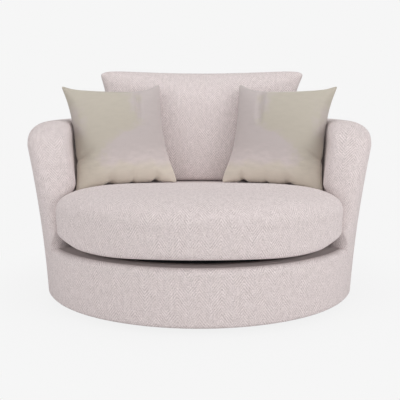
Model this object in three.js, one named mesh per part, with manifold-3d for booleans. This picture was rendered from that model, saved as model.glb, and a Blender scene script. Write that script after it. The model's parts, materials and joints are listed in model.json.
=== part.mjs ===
// Round swivel cuddle chair, in millimetres, with +Z up and the front towards -Y.
// Plan angles are measured about the swivel axis, from the front (0 degrees) over the right-hand arm
// (90 degrees) to the middle of the back (180 degrees).

import * as THREE from "three";
import { mergeVertices } from "three/addons/utils/BufferGeometryUtils.js";
import Module from "manifold-3d";

const wasm = await Module();
wasm.setup();

const degree = Math.PI / 180;
const fullTurn = 360 * degree;
const rightAngle = 90 * degree;

// How closely pieces meet, and how far a cut runs past what it cuts
const fit = { touch: 0.3, overrun: 10, slack: 2.3 };

// Points closer together than this are one point
const weld = { coarse: 0.001, fine: 0.0001 };

// Round upholstered shell: a drum with a wall that rises from it, open at the front
const shell = {
  shoulderRadius: 650,
  flare: 64,
  crestHeight: 665,
  crestRise: 85,
  hemHeight: 20,
  hemTuck: 14,
  footHeight: 30,
  deckHeight: 222,
  deckEdge: 20,
  seatWall: 88,
  shoulderWall: 132,
  holeMargin: 5,
  rootDepth: 52,
  rootTuck: 20,
  coverThickness: 2.5,
  coverGap: 0.8,
  paddingDepth: 12,
};

// Radii and heights of the shell that follow from its shoulder and crest
shell.shoulderHeight = shell.crestHeight - shell.crestRise;
shell.footRadius = shell.shoulderRadius - shell.flare;
shell.hemRadius = shell.footRadius - shell.hemTuck;
shell.innerSeatRadius = shell.footRadius - shell.seatWall;
shell.innerShoulderRadius = shell.shoulderRadius - shell.shoulderWall;
shell.deckHoleRadius = shell.innerSeatRadius + shell.holeMargin;
const shellFlareShare = 0.42;
const shellPower = 2.6;
const frameHeightShares = [0, 1 / 3, 2 / 3];
const edgeLowShare = 0.62;
const edgeHighShare = 0.33;

// Arm fronts: the wall ends in two noses that lean back as they rise
const nose = {
  angle: 62 * degree,
  lean: 10.5 * degree,
  corner: 10.5 * degree,
  outerLength: 62,
  innerLength: 110,
  power: 2.4,
};
const noseLeanPower = 2.2;
const noseCornerPower = 3;

// Timber frame and boards
const frame = {
  seatPadding: 47,
  topWall: 80,
  panel: 3,
  board: 18,
  bottomRingInset: 31,
  bottomRingWidth: 85,
  seatRingReach: 29.7,
  seatRingWidth: 72.7,
  ribThickness: 18,
  railHeight: 25,
  railRise: 5,
  postWidth: 30,
  crossWidth: 300,
  crossLanding: 52,
  nutHoleRadius: 22,
};

// The frame follows the shell that covers it
frame.innerSeatRadius = shell.innerSeatRadius + frame.seatPadding;
frame.innerTopRadius = shell.shoulderRadius - frame.topWall;
frame.bottomRingOuter = shell.footRadius - frame.bottomRingInset;
frame.bottomRingInner = frame.bottomRingOuter - frame.bottomRingWidth;
frame.seatRingOuter = shell.innerSeatRadius + frame.seatRingReach;
frame.seatRingInner = frame.seatRingOuter - frame.seatRingWidth;
frame.railTop = shell.shoulderHeight + frame.railRise;
frame.crossRadius = frame.bottomRingInner + frame.crossLanding;
const ribAngles = [105, 142.5, 180, 217.5, 255].map((angle) => angle * degree);
const frontRibAngles = [-38, 0, 38].map((angle) => angle * degree);

// Seat suspension
const spring = {
  wire: 3.8,
  waveLength: 68,
  waveWidth: 44,
  landing: 16,
  spacing: 150,
};
const springCount = 4;
const platform = { felt: 14.5, cloth: 1.2, dustThickness: 1, dustClearance: 13.5 };

// Swivel base
const swivel = {
  glideRadius: 20,
  glideHeight: 5.7,
  glideEdge: 2,
  ringInset: 236,
  ringTube: 25,
  armWidth: 30,
  armHeight: 20,
  armWall: 2,
  armInner: 34,
  plateRadius: 145,
  plateThickness: 3,
  raceRadius: 120,
  ballRadius: 4,
  grooveDepth: 1,
  grooveClearance: 0.2,
  cageWidth: 22,
  cageThickness: 2,
  topPlateSide: 290,
  topPlateCorner: 30,
  boltSpacing: 230,
  boltRadius: 4,
  boltHeadRadius: 7.5,
  boltHeadHeight: 5,
  pivotRadius: 6,
  pivotHeadRadius: 10,
  pivotHeadHeight: 7,
  pivotClearance: 0.4,
  nutRadius: 10,
  nutHeight: 8,
  pivotTail: 4,
};
const ballCount = 12;

// The floor ring stands inside the drum's foot, and the dust cover clears the ring
swivel.ringRadius = shell.footRadius - swivel.ringInset;
platform.dustInner = swivel.ringRadius + swivel.ringTube / 2 + platform.dustClearance;

// Loose cushions: each has a sewn cover round a core, and a zip opening in the cover
const sewing = { cover: 3, zipHeight: 5, coreGap: 0.8 };
const seat = {
  overhang: 12,
  gap: 1,
  cornerLength: 110,
  thickness: 227.6,
  topRound: 108,
  girthRise: 62.6,
  lipRise: 24,
  lipTuck: 10,
  underReach: 145,
  rearDrop: 41,
  dropStart: -230,
  dropLength: 350,
  zipAngle: 25 * degree,
};
seat.frontRadius = shell.footRadius + seat.overhang;
const seatPower = 3.4;
const seatCornerPower = 2.2;
const back = {
  settle: 7.1,
  height: 462.7,
  bottomInset: 106,
  topInset: 90,
  cornerDraw: 12,
  frontFoot: 162.5,
  frontLean: 0.2,
  rearRise: 34,
  frontCrown: 22,
  topSag: 23,
  sideDraw: 7,
  zipWidth: 460,
};
back.bottomHalfWidth = shell.innerSeatRadius - back.bottomInset;
back.topHalfWidth = shell.innerShoulderRadius - back.topInset;
const backPower = 4.2;
const cornerPower = 12;
const scatter = {
  side: 410,
  thickness: 144,
  drawIn: 17,
  armDistance: 200,
  lead: 82.2,
  rise: 151.4,
  zipWidth: 280,
};
const scatterPower = 2.2;
const scatterTurn = { about: 23.58 * degree, lean: 8.6 * degree, roll: 14.68 * degree };

// Facet counts
const counts = {
  wallSteps: 24,
  frontSteps: 16,
  noseSteps: 4,
  crestSteps: 3,
  seatFrontSteps: 4,
  seatCornerSteps: 3,
  seatRearSteps: 6,
  disc: 40,
  ring: 32,
  tube: 8,
  small: 12,
  hole: 6,
  plate: 24,
  backSteps: 5,
  scatterSteps: 4,
};

// Heights that follow from the sizes above
const axisY = -(shell.shoulderRadius - seat.frontRadius) / 2;
const lowerPlateBottom = swivel.glideHeight + fit.touch
  + (swivel.ringTube + swivel.armHeight) / 2 + fit.touch;
const lowerPlateTop = lowerPlateBottom + swivel.plateThickness;
const ballHeight = lowerPlateTop - swivel.grooveDepth + swivel.grooveClearance + swivel.ballRadius;
const upperPlateBottom = ballHeight + swivel.ballRadius + swivel.grooveClearance - swivel.grooveDepth;
const upperPlateTop = upperPlateBottom + swivel.plateThickness;
const boardBottom = upperPlateTop + fit.touch;
const boardTop = boardBottom + frame.board;
const bottomRingTop = boardBottom - fit.touch;
const bandHeight = shell.deckHeight - shell.deckEdge;
const railBottom = frame.railTop - frame.railHeight;
const seatRingTop = bandHeight - fit.touch;
const springHeight = seatRingTop + fit.touch + spring.wire / 2;
const feltBottom = springHeight + spring.wire / 2 + fit.touch;
const clothBottom = feltBottom + platform.felt + fit.touch;
const seatBottom = clothBottom + platform.cloth + fit.touch;
const seatCrown = seatBottom + seat.thickness;
const rootHeight = bandHeight - shell.rootDepth;
back.bottom = seatCrown - seat.rearDrop - back.settle;
back.top = back.bottom + back.height;
scatter.centreX = shell.innerShoulderRadius - scatter.armDistance;
scatter.centreY = back.frontFoot - scatter.lead;
scatter.centreZ = seatCrown + scatter.rise;

// Radii of the shell

function outerRadius(z) {
  const t = Math.min(z, shell.shoulderHeight) / shell.shoulderHeight;
  const flare = shellFlareShare * t + (1 - shellFlareShare) * t * t;
  return shell.footRadius + (shell.shoulderRadius - shell.footRadius) * flare;
}

function riseShare(z) {
  const rise = (z - shell.deckHeight) / (shell.shoulderHeight - shell.deckHeight);
  return Math.max(0, rise);
}

function innerRadius(z) {
  const t = Math.min(1, riseShare(z));
  return shell.innerSeatRadius + (shell.innerShoulderRadius - shell.innerSeatRadius) * t * t;
}

// The line where the inside and outside of the wall meet runs up each nose and along the crest
function edgeRadius(z) {
  const t = Math.min(1, riseShare(z));
  const share = edgeLowShare + (edgeHighShare - edgeLowShare) * t;
  return innerRadius(z) + (outerRadius(z) - innerRadius(z)) * share;
}

function noseAngle(z) {
  const overShoulder = (z - shell.shoulderHeight) / (shell.crestHeight - shell.shoulderHeight);
  return nose.angle + nose.lean * riseShare(z) ** noseLeanPower
    + nose.corner * Math.max(0, overShoulder) ** noseCornerPower;
}

// Where each nose reaches the wall's full thickness
function fullAngle(z) {
  return noseAngle(z) + nose.innerLength / edgeRadius(z);
}

// Thickness of a rounded rim, from 0 at its edge to 1 at the given share of its length
function roundedShare(share, power) {
  const left = 1 - Math.min(1, Math.max(0, share));
  return (1 - left ** power) ** (1 / power);
}

function polar(angle, radius, z) {
  return new THREE.Vector3(radius * Math.sin(angle), -radius * Math.cos(angle), z);
}

// Mesh making

function closedGeometry(points, faces) {
  const raw = new THREE.BufferGeometry().setFromPoints(points);
  raw.setIndex(faces);
  const merged = mergeVertices(raw, weld.coarse);
  const index = merged.getIndex().array;
  const kept = [];
  for (let i = 0; i < index.length; i += 3) {
    const [a, b, c] = [index[i], index[i + 1], index[i + 2]];
    if (a !== b && b !== c && c !== a) kept.push(a, b, c);
  }
  merged.setIndex(kept);
  if (signedVolume(merged) < 0) {
    for (let i = 0; i < kept.length; i += 3) {
      [kept[i + 1], kept[i + 2]] = [kept[i + 2], kept[i + 1]];
    }
    merged.setIndex(kept);
  }
  return merged;
}

function signedVolume(geometry) {
  const place = geometry.getAttribute("position");
  const index = geometry.getIndex().array;
  const [a, b, c] = [new THREE.Vector3(), new THREE.Vector3(), new THREE.Vector3()];
  let total = 0;
  for (let i = 0; i < index.length; i += 3) {
    a.fromBufferAttribute(place, index[i]);
    b.fromBufferAttribute(place, index[i + 1]);
    c.fromBufferAttribute(place, index[i + 2]);
    total += a.dot(b.cross(c)) / 6;
  }
  return total;
}

// A body whose rows each hold an outer and an inner line of points, closed at the first and last row
function stripSolid(rows) {
  const loops = rows.map((row) => [...row.outer, ...row.inner.slice().reverse()]);
  const size = loops[0].length;
  const station = (i) => Math.min(i, size - 1 - i);
  const middle = (size / 2 - 1) / 2;
  const faces = [];
  for (let r = 0; r + 1 < loops.length; r += 1) {
    for (let i = 0; i < size; i += 1) {
      const next = (i + 1) % size;
      const [low, high] = [r * size, (r + 1) * size];
      const nearStart = Math.min(station(i), station(next)) < middle;
      const rising = station(next) > station(i);
      if (nearStart !== rising) {
        faces.push(low + i, low + next, high + next, low + i, high + next, high + i);
      } else {
        faces.push(low + i, low + next, high + i, low + next, high + next, high + i);
      }
    }
  }
  const last = (loops.length - 1) * size;
  for (let i = 0; i + 1 < size / 2; i += 1) {
    const [a, b, c, d] = [i, i + 1, size - 2 - i, size - 1 - i];
    faces.push(a, c, b, a, d, c);
    faces.push(last + a, last + b, last + c, last + a, last + c, last + d);
  }
  return closedGeometry(loops.flat(), faces);
}

// A body from closed rings of points, whose first and last ring are each drawn to one point
function ringSolid(rings) {
  const size = rings[0].length;
  const faces = [];
  for (let r = 0; r + 1 < rings.length; r += 1) {
    for (let i = 0; i < size; i += 1) {
      const next = (i + 1) % size;
      const [low, high] = [r * size, (r + 1) * size];
      faces.push(low + i, low + next, high + next, low + i, high + next, high + i);
    }
  }
  return closedGeometry(rings.flat(), faces);
}

// A body from two faces over the same grid that meet all round their rim
function pillowSolid(shares, point) {
  const size = shares.length;
  const points = [];
  const faces = [];
  for (const side of [-1, 1]) {
    const start = points.length;
    for (const v of shares) {
      for (const u of shares) points.push(point(u, v, side));
    }
    for (let j = 0; j + 1 < size; j += 1) {
      for (let i = 0; i + 1 < size; i += 1) {
        const a = start + j * size + i;
        const towardsCorner = (2 * i + 2 > size) === (2 * j + 2 > size);
        const quad = towardsCorner
          ? [a, a + 1, a + size + 1, a + size]
          : [a + 1, a + size + 1, a + size, a];
        const [p, q, r, t] = side > 0 ? quad.reverse() : quad;
        if (side > 0) faces.push(q, r, t, q, t, p);
        else faces.push(p, q, r, p, r, t);
      }
    }
  }
  return closedGeometry(points, faces);
}

function toManifold(geometry) {
  const bare = geometry.clone();
  bare.deleteAttribute("normal");
  bare.deleteAttribute("uv");
  const merged = mergeVertices(bare, weld.fine);
  return new wasm.Manifold(new wasm.Mesh({
    numProp: 3,
    vertProperties: new Float32Array(merged.getAttribute("position").array),
    triVerts: new Uint32Array(merged.getIndex().array),
  }));
}

function toGeometry(solid) {
  const mesh = solid.getMesh();
  const geometry = new THREE.BufferGeometry();
  geometry.setAttribute("position", new THREE.BufferAttribute(mesh.vertProperties, 3));
  geometry.setIndex(new THREE.BufferAttribute(mesh.triVerts, 1));
  return geometry;
}

// Stock shapes

function revolved(profile, steps = counts.disc) {
  const points = profile.map(([radius, z]) => new THREE.Vector2(radius, z));
  const turned = new THREE.LatheGeometry(points, steps);
  return turned.rotateX(rightAngle);
}

function disc(radius, bottom, top, steps = counts.disc) {
  return revolved([[0, bottom], [radius, bottom], [radius, top], [0, top]], steps);
}

function flatRing(inner, outer, bottom, top, steps = counts.disc) {
  return revolved([[inner, bottom], [outer, bottom], [outer, top], [inner, top], [inner, bottom]], steps);
}

function plate(shape, bottom, thickness) {
  const options = { depth: thickness, bevelEnabled: false, curveSegments: counts.hole };
  return new THREE.ExtrudeGeometry(shape, options).translate(0, 0, bottom);
}

function cut(body, ...tools) {
  return toGeometry(tools.reduce((left, tool) => left.subtract(toManifold(tool)), toManifold(body)));
}

function join(body, ...others) {
  return toGeometry(others.reduce((left, other) => left.add(toManifold(other)), toManifold(body)));
}

// Shell bodies, each drawn in from the outside of the cover by the given inset

function noseStations(z, inset) {
  const radius = edgeRadius(z);
  const start = noseAngle(z) + inset / radius;
  const length = nose.innerLength - inset;
  const stations = [];
  for (let k = 0; k <= counts.noseSteps; k += 1) {
    const turn = rightAngle * k / counts.noseSteps;
    const along = length * (1 - Math.cos(turn) ** (2 / nose.power));
    stations.push({
      angle: start + along / radius,
      outer: roundedShare(along / (nose.outerLength - inset), nose.power),
      inner: roundedShare(along / length, nose.power),
    });
  }
  return stations;
}

function wallStations(z, inset) {
  const front = noseStations(z, inset);
  const full = front[front.length - 1].angle;
  const middle = [];
  for (let k = 1; k < counts.wallSteps; k += 1) {
    const angle = full + (fullTurn - 2 * full) * k / counts.wallSteps;
    middle.push({ angle, outer: 1, inner: 1 });
  }
  const mirrored = front.map((station) => ({ ...station, angle: fullTurn - station.angle }));
  return [...front, ...middle, ...mirrored.reverse()];
}

function wallRow(z, inset, thickness, tuck = 0) {
  const edge = edgeRadius(z);
  const outward = (outerRadius(z) - edge - inset) * thickness;
  const inward = (edge - innerRadius(z) - inset) * thickness;
  const stations = wallStations(z, inset);
  const outerPoint = (s) => polar(s.angle, edge + (outward - tuck) * s.outer, z);
  const innerPoint = (s) => polar(s.angle, edge - (inward - tuck) * s.inner, z);
  return { outer: stations.map(outerPoint), inner: stations.map(innerPoint) };
}

function wallHeights(shares) {
  return shares.map((share) => bandHeight + (shell.shoulderHeight - bandHeight) * share);
}

function wallBody(inset) {
  const rows = [wallRow(rootHeight, inset, 1, shell.rootTuck)];
  for (const z of wallHeights([0, 1 / 2, 1])) rows.push(wallRow(z, inset, 1));
  const rise = shell.crestHeight - inset - shell.shoulderHeight;
  for (let k = 1; k <= counts.crestSteps; k += 1) {
    const turn = rightAngle * k / counts.crestSteps;
    const z = shell.shoulderHeight + rise * Math.sin(turn) ** (2 / shellPower);
    const thickness = k === counts.crestSteps ? 0 : Math.cos(turn) ** (2 / shellPower);
    rows.push(wallRow(z, inset, thickness));
  }
  return stripSolid(rows);
}

// The drum has the wall's own stations at the sides and back, so the two meet edge to edge
function drumAngles() {
  const stations = wallStations(bandHeight, 0).filter((station) => station.inner === 1);
  const angles = stations.map((station) => station.angle);
  const full = angles[0];
  for (let k = 1; k < counts.frontSteps; k += 1) {
    angles.push(fullTurn - full + 2 * full * k / counts.frontSteps);
  }
  return angles;
}

function drumBody(inset, bottom) {
  const edge = shell.deckEdge - inset;
  const round = (share) => [
    outerRadius(bandHeight) - inset - edge * (1 - Math.cos(share * rightAngle)),
    bandHeight + edge * Math.sin(share * rightAngle),
  ];
  const profile = [
    [0, bottom],
    [shell.hemRadius - inset, bottom],
    [shell.hemRadius - inset, shell.hemHeight],
    [outerRadius(shell.footHeight) - inset, shell.footHeight],
    round(0),
    round(1 / 2),
    round(1),
    [0, shell.deckHeight - inset],
  ];
  const angles = drumAngles();
  return ringSolid(profile.map(([radius, z]) => angles.map((angle) => polar(angle, radius, z))));
}

// Everything inside the wall's edge line, from the given height up: it divides inside from outside
function insideOfEdge(offset, bottom) {
  const heights = [bottom, (bottom + shell.shoulderHeight) / 2, shell.shoulderHeight];
  const top = shell.crestHeight + fit.overrun;
  const line = heights.map((z) => [edgeRadius(z) + offset, z]);
  return revolved([[0, bottom], ...line, [edgeRadius(top) + offset, top], [0, top]]);
}

// A curved sheet or rail between two radii, over the given heights and range of plan angles
function curvedWall({ outer, inner, heights, from, to, steps }) {
  return stripSolid(heights.map((z) => {
    const angles = [];
    for (let k = 0; k <= steps; k += 1) angles.push(from(z) + (to(z) - from(z)) * k / steps);
    return {
      outer: angles.map((angle) => polar(angle, outer(z), z)),
      inner: angles.map((angle) => polar(angle, inner(z), z)),
    };
  }));
}

function wallHeightsBetween(bottom, top) {
  return [bottom, ...wallHeights(frameHeightShares).filter((z) => z > bottom && z < top), top];
}

// The frame's space in the wall is straight between these heights, and every board follows it
const frameHeights = [shell.footHeight, ...wallHeights(frameHeightShares), frame.railTop + fit.touch];

function straightBetween(value) {
  return (z) => {
    const level = Math.min(Math.max(z, frameHeights[0]), frameHeights[frameHeights.length - 1]);
    const above = Math.max(1, frameHeights.findIndex((height) => height >= level));
    const [low, high] = [frameHeights[above - 1], frameHeights[above]];
    const share = (level - low) / (high - low);
    return value(low) + (value(high) - value(low)) * share;
  };
}

const frameOuter = straightBetween((z) => outerRadius(z) - shell.paddingDepth);
const frameStart = straightBetween(fullAngle);
const frameEnd = (z) => fullTurn - frameStart(z);

function frameInner(z) {
  const t = Math.max(0, (z - bandHeight) / (frame.railTop - bandHeight));
  return frame.innerSeatRadius + (frame.innerTopRadius - frame.innerSeatRadius) * t;
}

function frameSpace() {
  const wall = curvedWall({
    outer: frameOuter,
    inner: frameInner,
    heights: wallHeightsBetween(rootHeight, frame.railTop + fit.touch),
    from: frameStart,
    to: frameEnd,
    steps: counts.wallSteps,
  });
  const angles = drumAngles();
  const profile = [
    [0, -fit.overrun],
    [shell.hemRadius - shell.paddingDepth, -fit.overrun],
    [shell.hemRadius - shell.paddingDepth, shell.hemHeight],
    [frameOuter(shell.footHeight), shell.footHeight],
    [frameOuter(bandHeight), bandHeight],
    [0, bandHeight],
  ];
  const drum = ringSolid(profile.map(([radius, z]) => angles.map((angle) => polar(angle, radius, z))));
  return toManifold(drum).add(toManifold(wall));
}

function shellBody(inset, bottom) {
  return toManifold(wallBody(inset)).add(toManifold(drumBody(inset, bottom)));
}

function deckHole() {
  return toManifold(disc(shell.deckHoleRadius, rootHeight, shell.deckHeight + fit.touch));
}

function addShell(group, finish) {
  const below = -fit.overrun;
  const lined = shellBody(shell.coverThickness, below);
  const cover = shellBody(0, shell.hemHeight).subtract(lined).subtract(deckHole());
  const seam = fit.touch / 2;
  const inner = toManifold(insideOfEdge(-seam, shell.deckHeight + fit.touch));
  const outer = toManifold(insideOfEdge(seam, shell.deckHeight));
  addPiece(group, "outside_cover", toGeometry(cover.subtract(outer)), finish.weave);
  addPiece(group, "inside_cover", toGeometry(cover.intersect(inner)), finish.weave);
  const padding = shellBody(shell.coverThickness + shell.coverGap, shell.hemHeight)
    .subtract(frameSpace()).subtract(deckHole());
  addPiece(group, "outer_wadding", toGeometry(padding.subtract(outer)), finish.wadding);
  addPiece(group, "inner_foam", toGeometry(padding.intersect(inner)), finish.foam);
}

// Boards and frame

function addPanels(group, finish) {
  const outerFace = (z) => frameOuter(z) - fit.touch;
  const bottom = bottomRingTop + fit.touch;
  const gap = 3 * fit.touch / frame.innerSeatRadius;
  const sheet = {
    steps: counts.wallSteps,
    from: (z) => frameStart(z) + gap,
    to: (z) => frameEnd(z) - gap,
  };
  addPiece(group, "outer_panel", curvedWall({
    ...sheet,
    outer: outerFace,
    inner: (z) => outerFace(z) - frame.panel,
    heights: wallHeightsBetween(bottom, frame.railTop),
  }), finish.fibreboard);
  addPiece(group, "inner_panel", curvedWall({
    ...sheet,
    outer: (z) => frameInner(z) + fit.touch + frame.panel,
    inner: (z) => frameInner(z) + fit.touch,
    heights: wallHeightsBetween(bandHeight, frame.railTop),
  }), finish.fibreboard);
  const full = drumAngles()[0];
  const frontSteps = counts.frontSteps - 2;
  const reach = full * frontSteps / counts.frontSteps;
  addPiece(group, "front_panel", curvedWall({
    outer: outerFace,
    inner: (z) => outerFace(z) - frame.panel,
    heights: [bottom, seatRingTop],
    from: () => -reach,
    to: () => reach,
    steps: frontSteps,
  }), finish.fibreboard);
}

const ribFoot = frame.seatRingOuter + fit.touch;
const ribOuter = (z) => frameOuter(z) - fit.touch - frame.panel - fit.slack;
const ribInner = (z) => frameInner(z) + 2 * fit.touch + frame.panel;

function ribShape(angle, outline) {
  const shape = new THREE.Shape(outline.map(([radius, z]) => new THREE.Vector2(radius, z)));
  const options = { depth: frame.ribThickness, bevelEnabled: false };
  const rib = new THREE.ExtrudeGeometry(shape, options);
  return rib.translate(0, 0, -frame.ribThickness / 2).rotateX(rightAngle).rotateZ(angle - rightAngle);
}

function addRibs(group, finish) {
  const foot = bottomRingTop + fit.touch;
  const head = railBottom - fit.touch;
  const step = seatRingTop;
  const heights = wallHeightsBetween(foot, head);
  ribAngles.forEach((angle, i) => {
    const outline = [
      [ribFoot, foot],
      ...heights.map((z) => [ribOuter(z), z]),
      [ribInner(head), head],
      [ribInner(step), step],
      [ribFoot, step],
    ];
    addPiece(group, `back_rib_${i + 1}`, ribShape(angle, outline), finish.timber);
  });
  const shelf = seatRingTop - frame.board - fit.touch;
  frontRibAngles.forEach((angle, i) => {
    const outline = [
      [ribFoot, foot],
      [ribOuter(foot), foot],
      [ribOuter(shelf), shelf],
      [ribFoot, shelf],
    ];
    addPiece(group, `front_rib_${i + 1}`, ribShape(angle, outline), finish.timber);
  });
  const width = frame.postWidth / frame.innerSeatRadius;
  const near = (z) => frameStart(z) + fit.slack / frame.innerSeatRadius;
  for (const [name, mirror] of [["arm_front_post_right", 1], ["arm_front_post_left", -1]]) {
    addPiece(group, name, curvedWall({
      outer: (z) => ribOuter(z) - fit.slack,
      inner: (z) => ribInner(z) + 2 * fit.touch,
      heights: wallHeightsBetween(foot, head),
      from: (z) => mirror * near(z),
      to: (z) => mirror * (near(z) + width),
      steps: 1,
    }), finish.timber);
  }
}

function addRings(group, finish) {
  const ringBottom = bottomRingTop - frame.board;
  const seatBottom = seatRingTop - frame.board;
  const bottomRing = [frame.bottomRingInner, frame.bottomRingOuter, ringBottom, bottomRingTop];
  const seatRing = [frame.seatRingInner, frame.seatRingOuter, seatBottom, seatRingTop];
  addPiece(group, "bottom_ring", flatRing(...bottomRing, counts.ring), finish.timber);
  addPiece(group, "seat_ring", flatRing(...seatRing, counts.ring), finish.timber);
  const frontReach = nose.angle;
  addPiece(group, "front_rail", curvedWall({
    outer: () => ribOuter(seatBottom),
    inner: () => ribFoot + fit.slack,
    heights: [seatBottom, seatRingTop],
    from: () => -frontReach,
    to: () => frontReach,
    steps: counts.frontSteps - 2,
  }), finish.timber);
  addPiece(group, "top_rail", curvedWall({
    outer: () => ribOuter(railBottom),
    inner: () => ribInner(frame.railTop),
    heights: [railBottom, frame.railTop],
    from: () => frameStart(frame.railTop) + fit.touch / frame.innerTopRadius,
    to: () => frameEnd(frame.railTop) - fit.touch / frame.innerTopRadius,
    steps: counts.wallSteps,
  }), finish.timber);
}

// The swivel board is a cross with rounded ends, with holes for the bolts and for the pivot nut
function addSwivelBoard(group, finish) {
  const side = frame.crossWidth / 2;
  const turn = Math.asin(side / frame.crossRadius);
  const outline = new THREE.Shape();
  for (let arm = 0; arm < 4; arm += 1) {
    const middle = arm * rightAngle;
    const root = middle - rightAngle / 2;
    const rootRadius = side * Math.SQRT2;
    const corner = [rootRadius * Math.cos(root), rootRadius * Math.sin(root)];
    if (arm === 0) outline.moveTo(...corner);
    else outline.lineTo(...corner);
    const steps = 3;
    for (let k = 0; k <= steps; k += 1) {
      const angle = middle - turn + 2 * turn * k / steps;
      outline.lineTo(frame.crossRadius * Math.cos(angle), frame.crossRadius * Math.sin(angle));
    }
  }
  outline.closePath();
  outline.holes.push(circlePath(0, 0, frame.nutHoleRadius));
  for (const [x, y] of boltPlaces()) {
    outline.holes.push(circlePath(x, y, swivel.boltRadius + fit.touch));
  }
  addPiece(group, "swivel_board", plate(outline, boardBottom, frame.board), finish.timber);
}

function circlePath(x, y, radius) {
  return new THREE.Path().absarc(x, y, radius, 0, fullTurn, true);
}

function boltPlaces() {
  const side = swivel.boltSpacing / 2;
  return [[side, side], [-side, side], [-side, -side], [side, -side]];
}

// Zig-zag seat springs and what lies over them

function springPath(x) {
  const reach = Math.sqrt(frame.seatRingInner ** 2 - x * x) + spring.landing;
  const waves = Math.round(2 * reach / spring.waveLength);
  const points = [];
  const perWave = 4;
  const cornerShares = [-1, -1, 1, 1];
  for (let k = 0; k < waves * perWave; k += 1) {
    const y = -reach + 2 * reach * (k + 1 / 2) / (waves * perWave);
    points.push(new THREE.Vector3(x + cornerShares[k % perWave] * spring.waveWidth / 2, y, springHeight));
  }
  return points;
}

function addSprings(group, finish) {
  const sides = 4;
  for (let i = 0; i < springCount; i += 1) {
    const x = (i - (springCount - 1) / 2) * spring.spacing;
    const path = springPath(x);
    addPiece(group, `seat_spring_${i + 1}`, bentWire(path, spring.wire / 2, sides), finish.springSteel);
  }
}

// A wire through points that lie at one height, mitred at each bend
function bentWire(path, radius, sides) {
  const rings = path.map((point, i) => {
    const before = path[Math.max(0, i - 1)];
    const after = path[Math.min(path.length - 1, i + 1)];
    const into = point.clone().sub(before).normalize();
    const out = after.clone().sub(point).normalize();
    const along = into.clone().add(out).normalize();
    const across = new THREE.Vector3(along.y, -along.x, 0);
    const bend = i === 0 ? 1 : along.dot(into);
    const ring = [];
    for (let k = 0; k < sides; k += 1) {
      const turn = fullTurn * k / sides;
      const sideways = radius * Math.cos(turn) / bend;
      ring.push(point.clone().addScaledVector(across, sideways).setZ(point.z + radius * Math.sin(turn)));
    }
    return ring;
  });
  const start = rings[0].map(() => path[0].clone());
  const end = rings[0].map(() => path[path.length - 1].clone());
  return ringSolid([start, ...rings, end]);
}

function addPlatform(group, finish) {
  const radius = shell.deckHoleRadius - fit.touch;
  const feltTop = feltBottom + platform.felt;
  addPiece(group, "platform_felt", disc(radius, feltBottom, feltTop), finish.felt);
  addPiece(group, "platform_cloth", disc(radius, clothBottom, clothBottom + platform.cloth), finish.lining);
  const ringBottom = bottomRingTop - frame.board;
  const dustTop = ringBottom - fit.touch;
  const dustBottom = dustTop - platform.dustThickness;
  const dust = flatRing(platform.dustInner, frame.bottomRingOuter, dustBottom, dustTop, counts.plate);
  addPiece(group, "dust_cover", dust, finish.lining);
}

// Swivel base

function addFloorRing(group, finish) {
  const centre = swivel.glideHeight + fit.touch + swivel.ringTube / 2;
  const ring = new THREE.TorusGeometry(swivel.ringRadius, swivel.ringTube / 2, counts.tube, counts.disc);
  addPiece(group, "floor_ring", ring.rotateZ(rightAngle / 2).translate(0, 0, centre), finish.darkSteel);
  const flat = swivel.ringTube / 2 * Math.cos(fullTurn / counts.tube / 2);
  const reach = swivel.ringRadius - flat - fit.slack;
  for (let i = 0; i < 4; i += 1) {
    const angle = rightAngle * (i + 1 / 2);
    const arm = squareTube(swivel.armInner, reach, centre);
    addPiece(group, `base_arm_${i + 1}`, arm.rotateZ(angle), finish.darkSteel);
    const glide = revolved([
      [0, 0],
      [swivel.glideRadius - swivel.glideEdge, 0],
      [swivel.glideRadius, swivel.glideEdge],
      [swivel.glideRadius, swivel.glideHeight],
      [0, swivel.glideHeight],
    ], counts.small);
    const place = polar(angle + rightAngle / 2, swivel.ringRadius, 0);
    addPiece(group, `floor_glide_${i + 1}`, glide.translate(place.x, place.y, 0), finish.glide);
  }
}

function squareTube(from, to, centre) {
  const [width, height, wall] = [swivel.armWidth / 2, swivel.armHeight / 2, swivel.armWall];
  const box = (w, h) => new THREE.Path([
    new THREE.Vector2(-h, -w), new THREE.Vector2(h, -w), new THREE.Vector2(h, w), new THREE.Vector2(-h, w),
  ]);
  const section = new THREE.Shape(box(width, height).getPoints());
  section.holes.push(box(width - wall, height - wall));
  const tube = new THREE.ExtrudeGeometry(section, { depth: to - from, bevelEnabled: false });
  return tube.translate(0, 0, from).rotateY(rightAngle).translate(0, 0, centre);
}

// The ball race is a groove pressed into each plate, and the balls run between the two grooves
function raceGroove(faceHeight, side) {
  const depth = side * swivel.grooveDepth;
  const halfMouth = Math.sqrt(swivel.ballRadius ** 2 - (swivel.ballRadius - swivel.grooveDepth) ** 2)
    + swivel.grooveClearance;
  const floor = halfMouth / 2;
  const race = swivel.raceRadius;
  return [
    [race + halfMouth, faceHeight],
    [race + floor, faceHeight - depth],
    [race - floor, faceHeight - depth],
    [race - halfMouth, faceHeight],
  ];
}

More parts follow.
